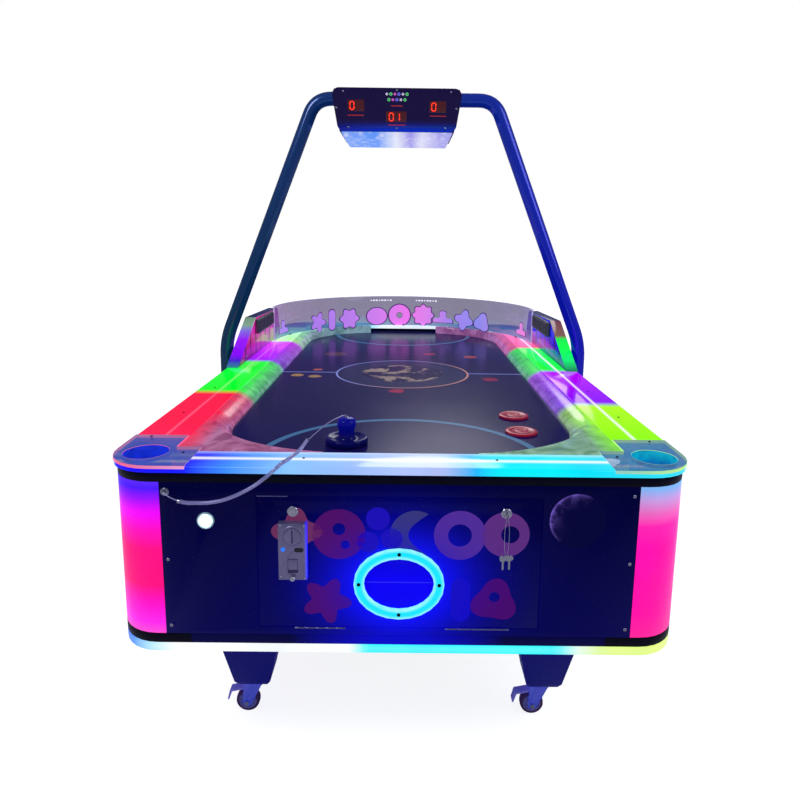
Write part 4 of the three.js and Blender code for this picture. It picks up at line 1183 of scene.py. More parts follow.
badge = flat_shape("acceptor_badge", [bar_loop(0.02, 0.0095)], (-0.217, plate_front, 0.5955), (0, -1, 0),
                   0.0009, 0.0002)
wear_it(badge, finish("badge", "1c1a30", 0.3, size=300.0), "door", "black_trim")
embossing = ((0.024, 48, -0.004, 0.584), (0.02, 48, -0.018, 0.562), (0.02, 90, 0.022, 0.555))
for k, (length, turn, dx, dz) in enumerate(embossing):
    rib = flat_shape(f"acceptor_rib_{k}", [bar_loop(length, 0.0028, turn)], (-0.231 + dx, plate_front, dz),
                     (0, -1, 0), 0.0011, 0.0004)
    wear_it(rib, plate_steel, "door", "bright_steel")
screws("acceptor_screws",
       [(x, plate_front - 0.0004, z) for x in (-0.2565, -0.2055) for z in (0.5315, 0.6505)],
       (0, -1, 0), "door", chrome, "bright_steel", 0.62)
knob = turned("reject_knob", [(0, -1), (4.2, -1), (4.2, 3.5), (5.6, 4.2), (5.8, 7.5), (5.0, 8.6), (0, 8.8)],
              (-0.231, plate_front, 0.5315), up=(0, -1, 0), steps=28)
wear_it(knob, chrome, "door", "bright_steel")

# ---------------------------------------------------------------- start button
# A lit white push button in a chromed bezel, held on the front panel.

button_at = (-0.421, -1.162, 0.654)
cap = turned("start_button_cap",
             [(0, -15), (15.0, -15), (15.2, 3.6), (14.4, 5.0), (12.0, 5.5), (7, 5.8), (0, 5.9)],
             button_at, up=(0, -1, 0))
wear_it(cap, shines(finish("button lens", "d8f4e8", 0.18, size=120.0), "e4fff4", 1.0), "start_button",
        "button_lens", "start_button")
bezel = turned("start_button_bezel",
               [(16.3, -0.2), (18.8, -0.2), (19.0, 1.6), (18.6, 3.4), (17.8, 4.4), (16.8, 4.4), (16.3, 3.9),
                (16.3, -0.2)],
               button_at, up=(0, -1, 0))
# Painted light: the bezel has a pale cyan glow.
wear_it(bezel, shines(finish("button bezel", "a8b4d0", 0.2, 0.7, size=200.0), "9cc8c8", 0.3), "table",
        "bright_steel")

# column screws beside the corner lights, and the stud that holds the tether
for side, x in (("left", -0.507), ("right", 0.507)):
    for end, y in (("front", -1), ("rear", 1)):
        heights = (0.562, 0.404) if (side, end) == ("left", "front") else (0.719, 0.562, 0.404)
        screws(f"{end}_{side}_column_screws", [(x, y * 1.1624, z) for z in heights], (0, y, 0), "table",
               steel, "bright_steel", 1.1)
stud = turned("tether_stud",
              [(0, -1), (9, -1), (9, 0.8), (7.6, 1.2), (7.4, 4.0), (4.2, 4.4), (4.0, 6.0), (2.6, 6.6),
               (0, 6.7)],
              (-0.507, -1.1622, 0.719), up=(0, -1, 0), steps=30)
wear_it(stud, steel, "table", "bright_steel")

# the rear outlet's rim and its screws
rear_rim = flat_shape("rear_outlet_rim",
                      [circle_loop(0.1, count=72, squash=0.83), circle_loop(0.0775, count=72, squash=0.78)],
                      (0.0, 1.1621, 0.511), (0, 1, 0), 0.0075, 0.002)
wear_it(rear_rim, rim_finish, "table", "lit_acrylic")
screws("rear_rim_screws",
       [(0, 1.1696, 0.511 + s * 0.0717) for s in (-1, 1)] + [(s * 0.0887, 1.1696, 0.511) for s in (-1, 1)],
       (0, 1, 0), "table", black_steel, "black_trim", 1.0)

# ---------------------------------------------------------------- side prints
# The cabinet's long sides carry printed rings, a planet and a few stars on the dark film.

for side, x in (("left", -1), ("right", 1)):
    prints = [(petal_loop(0.05, 5, 0.4), -0.62, 0.60, "66107c"), (circle_loop(0.085), -0.3, 0.56, "3420b0"),
              (circle_loop(0.05), 0.12, 0.62, "7a3ca0"), (petal_loop(0.06, 4, 0.35), 0.46, 0.5, "1c14e0"),
              (circle_loop(0.03), 0.74, 0.63, "66107c")]
    for k, (outline, y, z, code) in enumerate(prints):
        inner = [(u * 0.5, v * 0.5) for u, v in outline]
        shape = flat_shape(f"{side}_side_print_{k}", [outline, inner] if k % 2 else [outline],
                           (x * 0.642, y, z), (x, 0, 0), print_thickness)
        # the prints glow in their own colours as painted light
        wear_it(shape, shines(finish(f"{side} side ink {k}", code, 0.14, size=120.0, dust=0.2,
                                     Specular_IOR_Level=0.3), code, 0.4),
                "table", "black_board")

# ---------------------------------------------------------------- goal chutes and what is inside
# Plywood and sheet steel that only show through the outlets and with the door open.

chute_steel = finish("chute steel", "14163c", 0.35, 0.3, size=160.0, amount=0.3, dust=0.2)


# Painted light: the chute steel glows in the outlet's blue near the outlet, brighter lower down, and near black
# elsewhere.
def chute_light(tree):
    near = node(tree, "Group", {"Reach": 0.5}, node_tree=outlet_glow).outputs[0]
    deep = ranged(tree, place(tree)[2], 0.44, 0.58)
    return mixed(tree, near, tone("000010"), mixed(tree, deep, tone("1006ff"), tone("0400a0")))


shines(chute_steel, chute_light, 0.9)
plywood = finish("plywood", lambda tree: mixed(
    tree, node(tree, "TexWave",
               {"Vector": here(tree), "Scale": 14.0, "Distortion": 5.0, "Detail": 3.0}).outputs[1],
    tone("8c6c48"), tone("a88860")), 0.7, size=90.0, amount=0.3, dust=0.2, bump=0.1)
zinc = finish("zinc sheet", "8e929a", 0.42, 0.9, size=60.0, amount=0.6, dust=0.3, bump=0.04)
inside = {"front_goal_chute": (chute_steel, "sheet_metal"), "rear_goal_chute": (chute_steel, "sheet_metal"),
          "air_plenum": (plywood, "plain_wood"), "blower_housing": (zinc, "sheet_metal"),
          "blower_impeller": (zinc, "sheet_metal"),
          "power_box": (zinc, "sheet_metal"), "cash_box": (zinc, "sheet_metal")}
for cad_node, (material, slot) in inside.items():
    frame["nodes"][cad_node].data.materials.clear()
    frame["nodes"][cad_node].data.materials.append(material)

# a flap inside the outlet, seen as a thin line across it, its edge given a painted blue glow
flap_edge = rounded(block("outlet_flap", (-0.076, -1.1458, 0.5025), (0.076, -1.1442, 0.5045)), 0.0005, 2)
wear_it(flap_edge, shines(finish("flap edge", "2020a0", 0.3), "2a20ff", 0.7), "table", "sheet_metal")

# ---------------------------------------------------------------- legs
# Tapered welded steel legs, glossy navy, each on a square plate with four bolts.

leg_paint = finish("leg paint", "03032c", 0.2, size=90.0, amount=0.2, dust=0.3, Specular_IOR_Level=0.25)
# Painted light: the legs glow navy, brighter towards the top.
shines(leg_paint, lambda tree: mixed(
    tree, ranged(tree, place(tree)[2], 0.37, 0.2), tone("00007c"), tone("000058")), 1.0)
# Painted light: the castor steel, tyres, hubs and brake pedals are given faint blue and violet glows to brighten them.
castor_steel = finish("castor steel", "7c78b4", 0.3, 0.8, size=220.0, amount=0.5, dust=0.3, bump=0.06)
shines(castor_steel, "1c30a8", 0.7)
tyre_rubber = shines(finish("castor tyre", "4a2c60", 0.5, size=160.0, amount=0.4, dust=0.6, bump=0.08),
                     "1c0c30", 0.6)
hub_plastic = shines(finish("castor hub", "9a94c8", 0.4, size=200.0, amount=0.3, dust=0.4), "20204a", 0.5)
pedal_plastic = shines(finish("brake pedal", "a098d8", 0.4, size=160.0, amount=0.3, dust=0.4), "4440a0", 0.6)
for end, y in (("front", -0.915), ("rear", 0.915)):
    for side, x in (("left", -0.382), ("right", 0.382)):
        corner = f"{end}_{side}"
        leg = finished_copy(corner + "_leg", 0.003, 3)
        wear_it(leg, leg_paint, "table", "leg_paint", corner + "_leg")
        screws(corner + "_leg_bolts",
               [(x + i * 0.024, y + j * 0.024, 0.0948) for i in (-1, 1) for j in (-1, 1)],
               (0, 0, -1), "table", steel, "bright_steel", 0.9)
        # castor fork, with its axle bolt and nut
        castor, wheel = corner + "_castor", corner + "_wheel"
        fork = finished_copy(corner + "_castor_fork", 0.0009, 2)
        wear_it(fork, castor_steel, castor, "bright_steel", corner + "_castor_fork")
        wheel_low, wheel_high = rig.box(corner + "_castor_wheel")
        axle = Vector(((wheel_low.x + wheel_high.x) / 2, y, (wheel_low.z + wheel_high.z) / 2))
        for way in (-1, 1):
            nut = turned(f"{corner}_axle_nut_{'a' if way < 0 else 'b'}",
                         [(0, -1.5), (6.4, -1.5), (6.4, 2.6), (5.4, 3.6), (3.2, 3.8), (3.0, 5.4), (0, 5.6)],
                         axle + Vector((0, way * 0.0222, 0)), up=(0, way, 0), steps=6)
            wear_it(nut, steel, castor, "bright_steel")
        # wheel: a soft tyre on a moulded hub with a dished web
        radius = (wheel_high.z - wheel_low.z) / 2 * 1000
        tyre = turned(corner + "_tyre",
                      [(23.5, -11.4), (radius - 3.2, -11.8), (radius - 0.8, -9.4), (radius, -5), (radius, 5),
                       (radius - 0.8, 9.4),
                                         (radius - 3.2, 11.8), (23.5, 11.4), (23.5, -11.4)], axle,
                                         up=(0, -1, 0), steps=56)
        wear_it(tyre, tyre_rubber, wheel, "castor_tyre", corner + "_castor_wheel")
        hub = turned(corner + "_hub",
                     [(4.2, -11.6), (9.5, -11.6), (10.5, -9.0), (12.5, -5.2), (19.5, -5.4), (21.2, -10.2),
                      (23.5, -10.8), (23.5, 10.8), (21.2, 10.2),
                                       (19.5, 5.4), (12.5, 5.2), (10.5, 9.0), (9.5, 11.6), (4.2, 11.6),
                                       (4.2, -11.6)], axle, up=(0, -1, 0), steps=40)
        for k in range(5):
            angle = 2 * math.pi * k / 5
            at = axle + Vector((0.0158 * math.cos(angle), 0, 0.0158 * math.sin(angle)))
            cut_by(hub, turned("web_hole", [(0, -9), (2.5, -9), (2.5, 9), (0, 9)], at, up=(0, -1, 0),
                               steps=14))
        wear_it(hub, hub_plastic, wheel, "castor_tyre")
    if end == "front":
        for side in ("left", "right"):
            pedal = finished_copy(f"front_{side}_brake_pedal", 0.0022, 3)
            wear_it(pedal, pedal_plastic, f"front_{side}_pedal", "brake_plastic", f"front_{side}_brake_pedal")

# ---------------------------------------------------------------- mallet
# A moulded mallet: a dished base with a rounded rim, a waisted knob and a steel eyelet for the tether.

mallet_at = (-0.139, -0.885, 0.7403)
knob_profile = [(0, 0), (51.5, 0), (53.6, 0.9), (54.7, 3), (55, 6), (55, 14), (54.4, 17.2), (52.6, 19.4),
                (50, 20), (46, 19.6), (42, 18.4), (36, 15.8),
                (30.5, 14.4), (26.5, 14.8), (23.4, 17.4), (21.4, 22), (20.2, 29), (20.1, 35), (21.2, 41),
                (23.2, 46), (24.2, 51), (24.2, 57), (23.2, 61.5),
                (20.4, 65.6), (16.4, 68.2), (11, 69.6), (0, 70)]
mallet = turned("mallet_body", knob_profile, mallet_at, steps=64)
mallet_gloss = finish("mallet plastic", "04062c", 0.12, size=120.0, amount=0.2, dust=0.1,
                      Specular_IOR_Level=0.15)
# Painted light: the mallet glows dark blue at the base and brighter blue towards the top.
shines(mallet_gloss, lambda tree: mixed(tree, ranged(tree, place(tree)[2], 0.74, 0.81),
                                        tone("02021c"), tone("0a10b0")), 0.5)
wear_it(mallet, mallet_gloss, "mallet", "mallet_plastic", "mallet")
eyelet = turned("mallet_eyelet",
                [(0, -0.6), (5.2, -0.6), (5.2, 0.6), (3.6, 1.0), (3.2, 2.6), (2.2, 3.1), (0, 3.1)],
                (mallet_at[0], mallet_at[1], 0.8103), steps=24)
wear_it(eyelet, steel, "mallet", "bright_steel")
felt = turned("mallet_glide_ring", [(44, -0.2), (49, -0.2), (49, 0.6), (44, 0.6), (44, -0.2)], mallet_at,
              steps=48)
wear_it(felt, finish("glide tape", "c8c8d0", 0.5, size=300.0), "mallet", "mallet_plastic")

# ---------------------------------------------------------------- pucks
# Thin moulded discs with a rounded edge and a raised ring on each face, and a star in a ring of bars on the top face.

puck_red = finish("puck plastic", "b4102c", 0.22, size=140.0, amount=0.35, dust=0.3, bump=0.03)
# Painted light: the red plastic has a faint red glow.
shines(puck_red, "5a0820", 0.7)
puck_profile = [(0, 0.6), (10, 0.6), (11, 0.1), (13, 0.1), (14, 0.6), (27, 0.6), (28, 0.0), (38, 0.0),
                (42, 0.3), (43.6, 1.6), (44, 3.5), (43.6, 5.4), (42, 6.7),
                (38, 7.0), (28, 7.0), (27, 6.4), (14, 6.4), (13, 6.9), (11, 6.9), (10, 6.4), (0, 6.4)]
for name in ("puck_1", "puck_2"):
    low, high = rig.box(name)
    centre = ((low.x + high.x) / 2, (low.y + high.y) / 2, low.z)
    puck = turned(name + "_disc", puck_profile, centre, steps=64)
    wear_it(puck, puck_red, name, "puck_plastic", name)
    star = flat_shape(name + "_star", [petal_loop(0.0085, 5, 0.45), circle_loop(0.0025, count=16)],
                      (centre[0], centre[1], high.z - 0.0006), (0, 0, 1), 0.0005, 0.0001, up=(0, 1, 0))
    wear_it(star, puck_red, name, "puck_plastic")
    for k in range(10):
        a = 2 * math.pi * k / 10
        at = (centre[0] + 0.0205 * math.cos(a), centre[1] + 0.0205 * math.sin(a), high.z - 0.0006)
        bar = flat_shape("relief", [bar_loop(0.008, 0.0022)], at, (0, 0, 1), 0.0005, 0.0001,
                         up=(math.cos(a + math.pi / 2), math.sin(a + math.pi / 2), 0))
        bars = [bar] if k == 0 else [*bars, bar]
    wear_it(joined(name + "_relief", bars), puck_red, name, "puck_plastic")

# ---------------------------------------------------------------- arch
# A bent and painted steel tube, clamped to the cabinet's sides by folded brackets.

arch_x, arch_foot, arch_shoulder, arch_top, arch_top_half, arch_bend = 0.681, 0.69, 0.865, 1.755, 0.327, 0.06


def bent(start, corner, finish_at, count=10):
    """Points round a bend, from a stretch before a corner to the same stretch after it."""
    a = corner + (start - corner).normalized() * arch_bend
    b = corner + (finish_at - corner).normalized() * arch_bend
    return [(1 - t) ** 2 * a + 2 * t * (1 - t) * corner + t * t * b
            for t in (k / count for k in range(count + 1))]


foot = Vector((arch_x, 0, arch_foot))
shoulder = Vector((arch_x, 0, arch_shoulder))
crown = Vector((arch_top_half, 0, arch_top))
half_arch = [foot, *bent(foot, shoulder, crown), *bent(shoulder, crown, Vector((0, 0, arch_top)))]
arch_line = half_arch + [Vector((-p.x, 0, p.z)) for p in reversed(half_arch)]
arch = tube("arch_tube_finished", arch_line, 0.025, 6)
# The paint runs from teal-blue on the left to deep blue on the right, and the tube has a painted glow that runs the
# same way.
arch_paint = finish("arch paint",
                    lambda tree: shades(tree, place(tree)[0],
                                        [(-0.7, "08385c"), (-0.35, "0c3c80"), (0.1, "1040a0"),
                                         (0.5, "0c28b8"), (0.7, "0a14b0")], -0.72, 0.72),
                    0.2, 0.35, size=140.0, amount=0.25, dust=0.25, bump=0.03, Coat_Weight=0.5,
                    Coat_Roughness=0.06)
shines(arch_paint, lambda tree: shades(tree, place(tree)[0],
                                       [(-0.7, "01243c"), (0.1, "021c60"), (0.7, "0408a0")], -0.72, 0.72),
                                       0.6)
brackets = []
for x in (-1, 1):
    near, far = sorted((x * 0.6423, x * 0.6617))
    brackets.append(rounded(block("arch_bracket", (near, -0.06, 0.63), (far, 0.06, 0.74)), 0.003, 3))
    near, far = sorted((x * 0.66, x * 0.7))
    brackets.append(rounded(block("arch_shoe", (near, -0.027, 0.634), (far, 0.027, 0.692)), 0.008, 4))
wear_it(joined("arch_tube_finished", [arch, *brackets]), arch_paint, "table", "arch_paint", "arch_tube")
for side, x in (("left", -1), ("right", 1)):
    screws(side + "_bracket_bolts", [(x * 0.6618, y, z) for y in (-0.045, 0.045) for z in (0.65, 0.72)],
           (x, 0, 0), "table", steel, "bright_steel", 1.3)

# ---------------------------------------------------------------- scoreboard
# A folded black case with a glossy face for each player, score windows, and a lit panel below.

case = finished_copy("scoreboard_case", 0.0035, 3)
board_x = -0.028
for corner in case.data.vertices:
    corner.co.x = board_x + (corner.co.x - board_x) * 0.972
    corner.co.z -= 0.003 if corner.co.z > 1.74 else 0.0
case_black = finish("case black", "06060e", 0.3, size=200.0, amount=0.3, dust=0.2, bump=0.05,
                    Specular_IOR_Level=0.3)
# Painted light: a blue glow on the case below 1.62 m, fading to near black above; the wings, which share this finish,
# glow blue all over.
shines(case_black, lambda tree: mixed(tree, ranged(tree, place(tree)[2], 1.622, 1.66), tone("040c60"),
                                      tone("04040c")), 0.6)
wear_it(case, case_black, "table", "black_case", "scoreboard_case")
tilt = math.atan2(0.057, 0.13)
face_gloss = finish("face acrylic", "040412", 0.06, size=200.0, amount=0.2, dust=0.3, bump=0.01,
                    Specular_IOR_Level=0.2)


# Painted light: a blue glow at the foot of each face, strongest in the middle, over a faint violet glow.
def face_light(tree):
    there = place(tree)
    low = ranged(tree, there[2], 1.622, 1.66, 1.0, 0.0)
    low = times(tree, low, low)
    arc = sums(tree, "SUBTRACT", 1.0, times(tree, there[0], there[0], 9.0), True)
    return mixed(tree, times(tree, low, arc), tone("12063a"), tone("0a34d0"))


shines(face_gloss, face_light, 0.9)
window_dark = shines(finish("score window", "3a0410", 0.15, size=200.0), "3c040c", 0.8)
digit_red = shines(finish("score digit", "ff2010", 0.3), "ff3414", 1.6)
mark_codes = ("b8b0c8", "5ac870", "c850b4", "6a6ae0", "8c1c24")
# the printed marks and bars glow in their own colours as painted light
mark_inks = [shines(finish(f"score mark {k}", code, 0.3), code, 0.75) for k, code in enumerate(mark_codes)]
segments = {"top": (0, 1, 0), "middle": (0, 0, 0), "bottom": (0, -1, 0), "upper_left": (-1, 0.5, 90),
            "lower_left": (-1, -0.5, 90), "upper_right": (1, 0.5, 90), "lower_right": (1, -0.5, 90)}
lit_segments = {"0": [s for s in segments if s != "middle"], "1": ["upper_right", "lower_right"]}
for way, sign in (("front", -1), ("rear", 1)):
    normal = Vector((0, sign * math.cos(tilt), -math.sin(tilt)))
    rise = Vector((0, sign * math.sin(tilt), math.cos(tilt)))
    middle = Vector((board_x, sign * 0.1765, 1.687)) + normal * 0.0003
    across = rise.cross(normal)

    def on_face(u, v, lift=0.0025):
        return middle + across * u + rise * v + normal * lift

    corner_radius, top_half, foot_half, half_high = 0.024, 0.2175, 0.205, 0.0715
    outline = []
    for cx, cz, first in ((foot_half, -half_high, -90), (top_half, half_high, 0), (-top_half, half_high, 90),
                          (-foot_half, -half_high, 180)):
        ox, oz = cx - math.copysign(corner_radius, cx), cz - math.copysign(corner_radius, cz)
        outline += [(ox + corner_radius * math.cos(math.radians(first + 15 * k)),
                     oz + corner_radius * math.sin(math.radians(first + 15 * k))) for k in range(7)]
    plate = flat_shape(way + "_score_face", [outline], middle, normal, 0.0025, 0.0004, up=rise)
    wear_it(plate, face_gloss, "table", "black_case")
    digits = []
    windows = ((-0.138, 0.014, 0.056, 0.038, "0"), (-0.002, -0.022, 0.07, 0.036, "01"),
               (0.138, 0.012, 0.056, 0.038, "0"))
    for k, (u, v, wide, high, text) in enumerate(windows):
        window = flat_shape(f"{way}_window_{k}",
                            [[(-wide / 2, -high / 2), (wide / 2, -high / 2), (wide / 2, high / 2),
                              (-wide / 2, high / 2)]],
                            on_face(u, v), normal, 0.0006, 0.0002, up=rise)
        wear_it(window, window_dark, "table", "black_case")
        for n, mark in enumerate(text):
            digit_u = u - wide * 0.24 + n * wide * 0.3
            for name in lit_segments[mark]:
                du, dv, turn = segments[name]
                at = on_face(digit_u + du * 0.0068, v + dv * 0.0125, 0.0031)
                digits.append(flat_shape("segment",
                                         [bar_loop(0.0112 if turn == 0 else 0.0105, 0.0032, turn, count=3)],
                                         at, normal, 0.0004, up=rise))
    wear_it(joined(way + "_score_digits", digits), digit_red, "table", "button_lens")
    marks = []
    for row, (v, count, pitch, size) in enumerate(((0.052, 6, 0.0135, 0.0052), (0.034, 5, 0.0135, 0.0052))):
        for k in range(count):
            u = (k - (count - 1) / 2) * pitch
            loops = [circle_loop(size, count=20),
                     circle_loop(size * 0.45, count=14)] if (k + row) % 2 else [petal_loop(size, 4 + k % 2,
                                                                                           0.35, count=30)]
            mark = flat_shape(f"{way}_mark_{row}_{k}", loops, on_face(u, v), normal, 0.0003, up=rise)
            wear_it(mark, mark_inks[(k + row) % 4], "table", "black_case")
    for k, (u, v, length) in enumerate(((-0.14, -0.018, 0.056), (0.14, -0.018, 0.056), (0.0, 0.014, 0.04),
                                        (0.0, -0.049, 0.06))):
        bar = flat_shape(f"{way}_bar_{k}", [bar_loop(length, 0.0035)], on_face(u, v), normal, 0.0003, up=rise)
        wear_it(bar, mark_inks[4], "table", "black_case")
    screws(way + "_face_screws",
           [on_face(u, v) for u, v in ((-0.18, 0.06), (0.18, 0.06), (-0.204, 0.006), (0.202, 0.006),
                                       (-0.166, -0.058), (0.166, -0.058), (0.0, -0.06), (0.0, 0.064))],
           normal, "table", steel, "bright_steel", 0.95)

lamp = finished_copy("scoreboard_lamp", 0.004, 3)
diffuser = finish("lamp diffuser", "6c70b0", 0.25, size=120.0, amount=0.2)


def lamp_light(tree):
    spot = here(tree)
    leds = node(tree, "TexVoronoi", {"Vector": spot, "Scale": 42.0}).outputs["Distance"]
    spots = ranged(tree, leds, 0.15, 0.5, 1.0, 0.0)
    haze = noise(tree, spot, 16.0, 4.0, Distortion=1.0)
    side = shades(tree, place(tree)[0],
                  [(-0.19, "7aa8ff"), (-0.1, "5c9cff"), (-0.03, "f0f4ff"), (0.02, "a49cf0"), (0.06, "eaeaff"),
                   (0.12, "b4b0f4"), (0.19, "a4a4ec")], -0.2, 0.2)
    return mixed(tree, sums(tree, "MULTIPLY", times(tree, spots, haze), 0.9, True), side, tone("f6f8ff"))


wear_it(lamp, shines(diffuser, lamp_light, 0.82), "table", "lamp_diffuser", "scoreboard_lamp")

# ---------------------------------------------------------------- wings
# Folded black side pieces with a lit acrylic strip down the slanted edge and coloured inner faces.

strip_stops = {"left": [(0.78, "2c8c84"), (0.8, "4020d0"), (0.815, "8a08ff"), (0.86, "9a10ff"),
                        (0.885, "8060e0"), (0.905, "7ca088"), (0.93, "6c8c74")],
               "right": [(0.78, "1c6a58"), (0.81, "14e870"), (0.85, "04ff48"), (0.872, "10e850"),
                         (0.882, "7c5850"), (0.93, "6c3444")]}
inner_codes = {"left": ("d808a0", "14041c", "5c0850"), "right": ("0c10e8", "04041c", "0a0a60")}
for side, x in (("left", -1), ("right", 1)):
    wing = finished_copy(side + "_wing", 0.0022, 3)
    wear_it(wing, case_black, "table", "black_case", side + "_wing")
    lit_code, dark_code, low_code = inner_codes[side]

    # Painted light: the inner face glows, from its low colour at the bottom to its lit colour higher up, crossed by
    # dark bars.
    def inner_light(tree, lit_code=lit_code, dark_code=dark_code, low_code=low_code):
        there = place(tree)
        spot = here(tree)
        patch = noise(tree, spot, 9.0, 2.0)
        bars = band(tree, sums(tree, "PINGPONG", sums(tree, "ADD", there[1], times(tree, patch, 0.03)),
                               0.045), 0.0, 0.009, 0.002)
        low = ranged(tree, there[2], 0.78, 0.86)
        colour = mixed(tree, low, tone(low_code), tone(lit_code))
        return mixed(tree, times(tree, bars, 0.85), colour, tone(dark_code))

    wing.data.materials.append(shines(finish(side + " wing film", dark_code, 0.15, size=120.0, dust=0.2),
                                      inner_light, 0.8))
    wing.data.materials.append(acrylic(side + " wing strip", lambda tree, stops=strip_stops[side]: shades(
        tree, place(tree)[2], stops, 0.77, 0.94), 1.0, 0.12))
    for face in wing.data.polygons:
        n = face.normal
        if n.x * x < -0.9:
            face.material_index = 1
        elif n.y < -0.3 and face.center.z < 0.9285 and n.z > 0.3:
            face.material_index = 2
    # vent box: a ribbed grey moulding on the inner face
    inner_x = x * 0.605
    box_low, box_high = sorted((inner_x, inner_x - x * 0.012))
    vent = rounded(block("vent", (box_low, 0.17, 0.862), (box_high, 0.47, 0.922)), 0.004, 3)
    ribs = [rounded(block("rib", (min(inner_x - x * 0.016, inner_x - x * 0.011), 0.185 + 0.03 * k, 0.868),
                          (max(inner_x - x * 0.016, inner_x - x * 0.011), 0.199 + 0.03 * k, 0.916)), 0.002,
                          2) for k in range(10)]
    vent_plastic = finish(side + " vent plastic", "4c4a58", 0.45, size=240.0, amount=0.3, dust=0.4, bump=0.08)
    # the vent moulding has a faint painted glow
    wear_it(joined(side + "_vent_box", [vent, *ribs]), shines(vent_plastic, "24222e", 0.6), "table",
            "black_trim")
    screws(side + "_wing_screws",
           [(inner_x, y, z) for y, z in ((0.13, 0.9), (0.52, 0.9), (0.0, 0.8), (0.62, 0.8))], (-x, 0, 0),
           "table", steel, "bright_steel", 0.9)

# ---------------------------------------------------------------- end screen
# A clear acrylic sheet bent to a half round, with polished edges and a row of plump printed shapes.

screen = finished_copy("end_screen", 0.0014, 2)
tint = finish("screen acrylic", "5c4c80", 0.04, size=60.0, amount=0.1, dust=0.3, bump=0.01, Alpha=0.6,
              IOR=1.49)


# Painted light: the clear sheet glows a hazy violet-grey that varies from end to end, with a hazy cyan glow along its
# foot.
def screen_light(tree):
    there = place(tree)
    spot = here(tree)
    haze = noise(tree, spot, 5.0, 3.0)
    side = shades(tree, there[0],
                  [(-0.6, "a060c0"), (-0.3, "64508c"), (0.0, "6c5a90"), (0.3, "584a78"), (0.6, "8070c8")],
                  -0.62, 0.62)
    low = ranged(tree, there[2], 0.785, 0.845, 1.0, 0.0)
    return mixed(tree, times(tree, low, haze), mixed(tree, haze, side, tone("3c3458")), tone("20c0ff"))


shines(tint, screen_light, 0.55)
wear_it(screen, tint, "table", "clear_acrylic", "end_screen")
# Painted highlight: the polished edges glow pale lilac.
polished = shines(finish("polished edge", "c8c0dc", 0.08, size=90.0, Alpha=0.9), "9890b8", 0.7)
screen.data.materials.append(polished)
for face in screen.data.polygons:
    if abs(face.normal.z) > 0.75 or (abs(face.center.y - 0.5) < 0.003 and abs(face.normal.y) > 0.7):
        face.material_index = 1

screen_centre, inner_radius = 0.5, 0.592


def wrapped(piece):
    """Bends a flat piece drawn as (along the arc, depth, height) round the inside of the screen."""
    for corner in piece.data.vertices:
        along_arc, depth, height = corner.co
        angle = math.pi / 2 - along_arc / inner_radius
        radius = inner_radius + depth
        corner.co = (radius * math.cos(angle), screen_centre + radius * math.sin(angle), height)
    return piece


def mallet_loop(size):
    """The outline of a mallet seen from the side."""
    side = [(1.0, -0.5), (1.0, -0.22), (0.9, -0.12), (0.42, -0.05), (0.3, 0.08), (0.34, 0.42), (0.28, 0.56),
            (0.12, 0.62)]
    return [(u * size, v * size) for u, v in side] + [(-u * size, v * size) for u, v in reversed(side)]


figure_stops = [(-0.62, "a078e0"), (-0.3, "b078dc"), (-0.1, "cc78dc"), (0.02, "e070dc"), (0.12, "d47cdc"),
                (0.25, "a080e0"), (0.4, "8c88e4"), (0.62, "e080c8")]
figure_ink = finish("figure ink", lambda tree: shades(tree, place(tree)[0], figure_stops, -0.64, 0.64), 0.2,
                    size=120.0, amount=0.1)
# the printed figures and their outlines glow in their ink colours as painted light
shines(figure_ink, lambda tree: shades(tree, place(tree)[0], figure_stops, -0.64, 0.64), 0.85)
outline_ink = shines(finish("figure outline", "3c2a68", 0.2, size=120.0), "3c2a68", 0.5)
figures = [
    ("star", 138.8, 0.817, lambda s: [petal_loop(0.046 * s, 5, 0.42, turn=0.3)]),
    ("bead", 129.9, 0.8226, lambda s: [bar_loop(0.096 * s, 0.036 * s, 90)]),
    ("flower", 119.6, 0.823, lambda s: [petal_loop(0.05 * s, 6, 0.26)]),
    ("puck", 104.3, 0.831, lambda s: [circle_loop(0.05 * s, squash=0.82)]),
    ("ring", 92.1, 0.836, lambda s: [circle_loop(0.052 * s), circle_loop(0.019 / s)]),
    ("sun", 79.4, 0.838, lambda s: [petal_loop(0.053 * s, 8, 0.2)]),
    ("mallet", 68.6, 0.83, lambda s: [mallet_loop(0.05 * s)]),
    ("bow", 56.5, 0.824, lambda s: [petal_loop(0.05 * s, 4, 0.38, turn=1.0)]),
    ("drop", 45.5, 0.82, lambda s: [petal_loop(0.046 * s, 3, 0.3, turn=2.4)]),
    ("left_mallet", 168.0, 0.826, lambda s: [mallet_loop(0.046 * s)]),
    ("right_mallet", 14.0, 0.826, lambda s: [mallet_loop(0.046 * s)]),
]
for name, degrees, height, outline in figures:
    arc = inner_radius * math.radians(90 - degrees)
    for layer, (share, depth, ink) in enumerate(((1.23, -0.0009, outline_ink), (1.12, -0.0017, figure_ink))):
        shape = flat_shape(f"screen_{name}_{layer}", outline(share), (arc, depth, height), (0, -1, 0), 0.0008)
        only(shape)
        bpy.ops.object.mode_set(mode="EDIT")
        bpy.ops.mesh.select_all(action="SELECT")
        bpy.ops.mesh.quads_convert_to_tris()
        bpy.ops.mesh.subdivide(number_cuts=1)
        bpy.ops.object.mode_set(mode="OBJECT")
        wear_it(wrapped(shape), ink, "table", "clear_acrylic")
# two rows of small white dashes near the top edge, and chromed clamps at the screen's foot
dashes = []
for middle in (-0.125, 0.125):
    for k in range(8):
        dashes.append(wrapped(flat_shape("dash", [bar_loop(0.012 if k % 3 else 0.007, 0.007)],
                                         (middle + 0.0155 * (k - 3.5), -0.0003, 0.918), (0, -1, 0), 0.0006)))
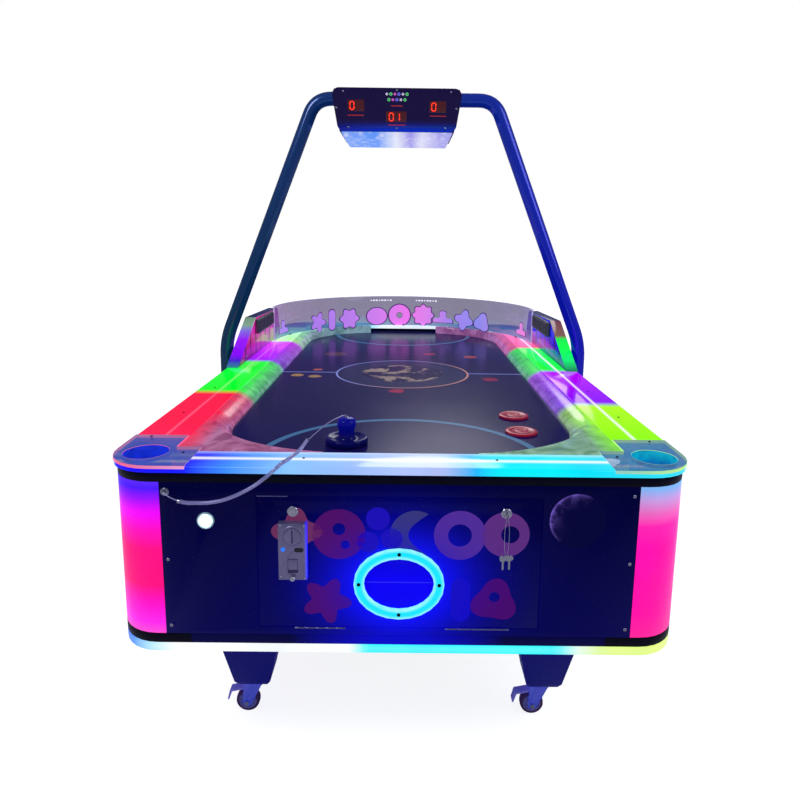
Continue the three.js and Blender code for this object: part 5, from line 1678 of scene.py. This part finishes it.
# the white dashes glow as painted light
wear_it(joined("screen_dashes", dashes), shines(finish("white ink", "e8e8f8", 0.3), "f0f0ff", 0.9), "table",
        "clear_acrylic")
for k, degrees in enumerate((18, 54, 90, 126, 162)):
    a = math.radians(degrees)
    at = Vector((0.582 * math.cos(a), screen_centre + 0.582 * math.sin(a), 0.7803))
    if at.y > 1.06 or abs(at.x) > 0.52:
        clamp = turned(f"screen_clamp_{k}", [(0, 0), (6.5, 0), (6.5, 7), (5.2, 8.6), (0, 8.8)], at, steps=20)
        wear_it(clamp, chrome, "table", "bright_steel")

# ---------------------------------------------------------------- floor and light
# A plain pale floor and soft studio light.

bpy.ops.object.select_all(action="DESELECT")
bpy.ops.mesh.primitive_circle_add(vertices=96, radius=60.0, fill_type="NGON")
floor = bpy.context.object
floor.name = "floor"
pale = finish("pale floor", "f0f0f4", 0.7, size=30.0, amount=0.02, bump=0.0, Specular_IOR_Level=0.1)


def floor_light(tree):
    """Fades to white towards the horizon, for the eye only, so that the floor throws little light up."""
    there = place(tree)
    far = ranged(tree, reach(tree, there[0], there[1], (0.0, 0.0)), 1.5, 6.0, 0.86, 1.0)
    far = times(tree, far, node(tree, "LightPath").outputs["Is Camera Ray"])
    return grey(tree, far)


shines(pale, floor_light, 1.0)
floor.data.materials.append(pale)
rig.stage(floor)

world = bpy.data.worlds.new("studio")
scene.world = world
world.use_nodes = True
sky = world.node_tree
for old in list(sky.nodes):
    sky.nodes.remove(old)
seen = node(sky, "Background", {"Color": (1.0, 1.0, 1.0, 1.0), "Strength": 1.0}).outputs[0]
felt = node(sky, "Background", {"Color": tone("dfe2ff"), "Strength": 0.2}).outputs[0]
straight = node(sky, "LightPath").outputs["Is Camera Ray"]
both = node(sky, "MixShader", {0: straight, 1: felt, 2: seen}).outputs[0]
sky.links.new(both, node(sky, "OutputWorld").inputs["Surface"])


def soft_light(name, at, towards, size, power, code="ffffff"):
    lamp = bpy.data.lights.new(name, "AREA")
    lamp.shape, lamp.size, lamp.energy, lamp.color = "DISK", size, power, tone(code)[:3]
    holder = bpy.data.objects.new(name, lamp)
    scene.collection.objects.link(holder)
    holder.location = at
    holder.rotation_mode = "QUATERNION"
    holder.rotation_quaternion = (Vector(at) - Vector(towards)).to_track_quat("Z", "Y")


soft_light("key", (-2.2, -2.6, 3.6), (0, 0, 0.7), 1.6, 42.0)
soft_light("fill", (2.8, -1.6, 2.6), (0, 0, 0.7), 2.0, 22.0, "f2f0ff")
soft_light("back", (0.4, 3.4, 3.0), (0, 0.4, 0.8), 2.0, 30.0)

bpy.data.objects.remove(screw)
with open("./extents.json", "w") as out:
    json.dump({"cad": [list(p) for p in cad_box], "visual": [list(p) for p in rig.bounds()]}, out)
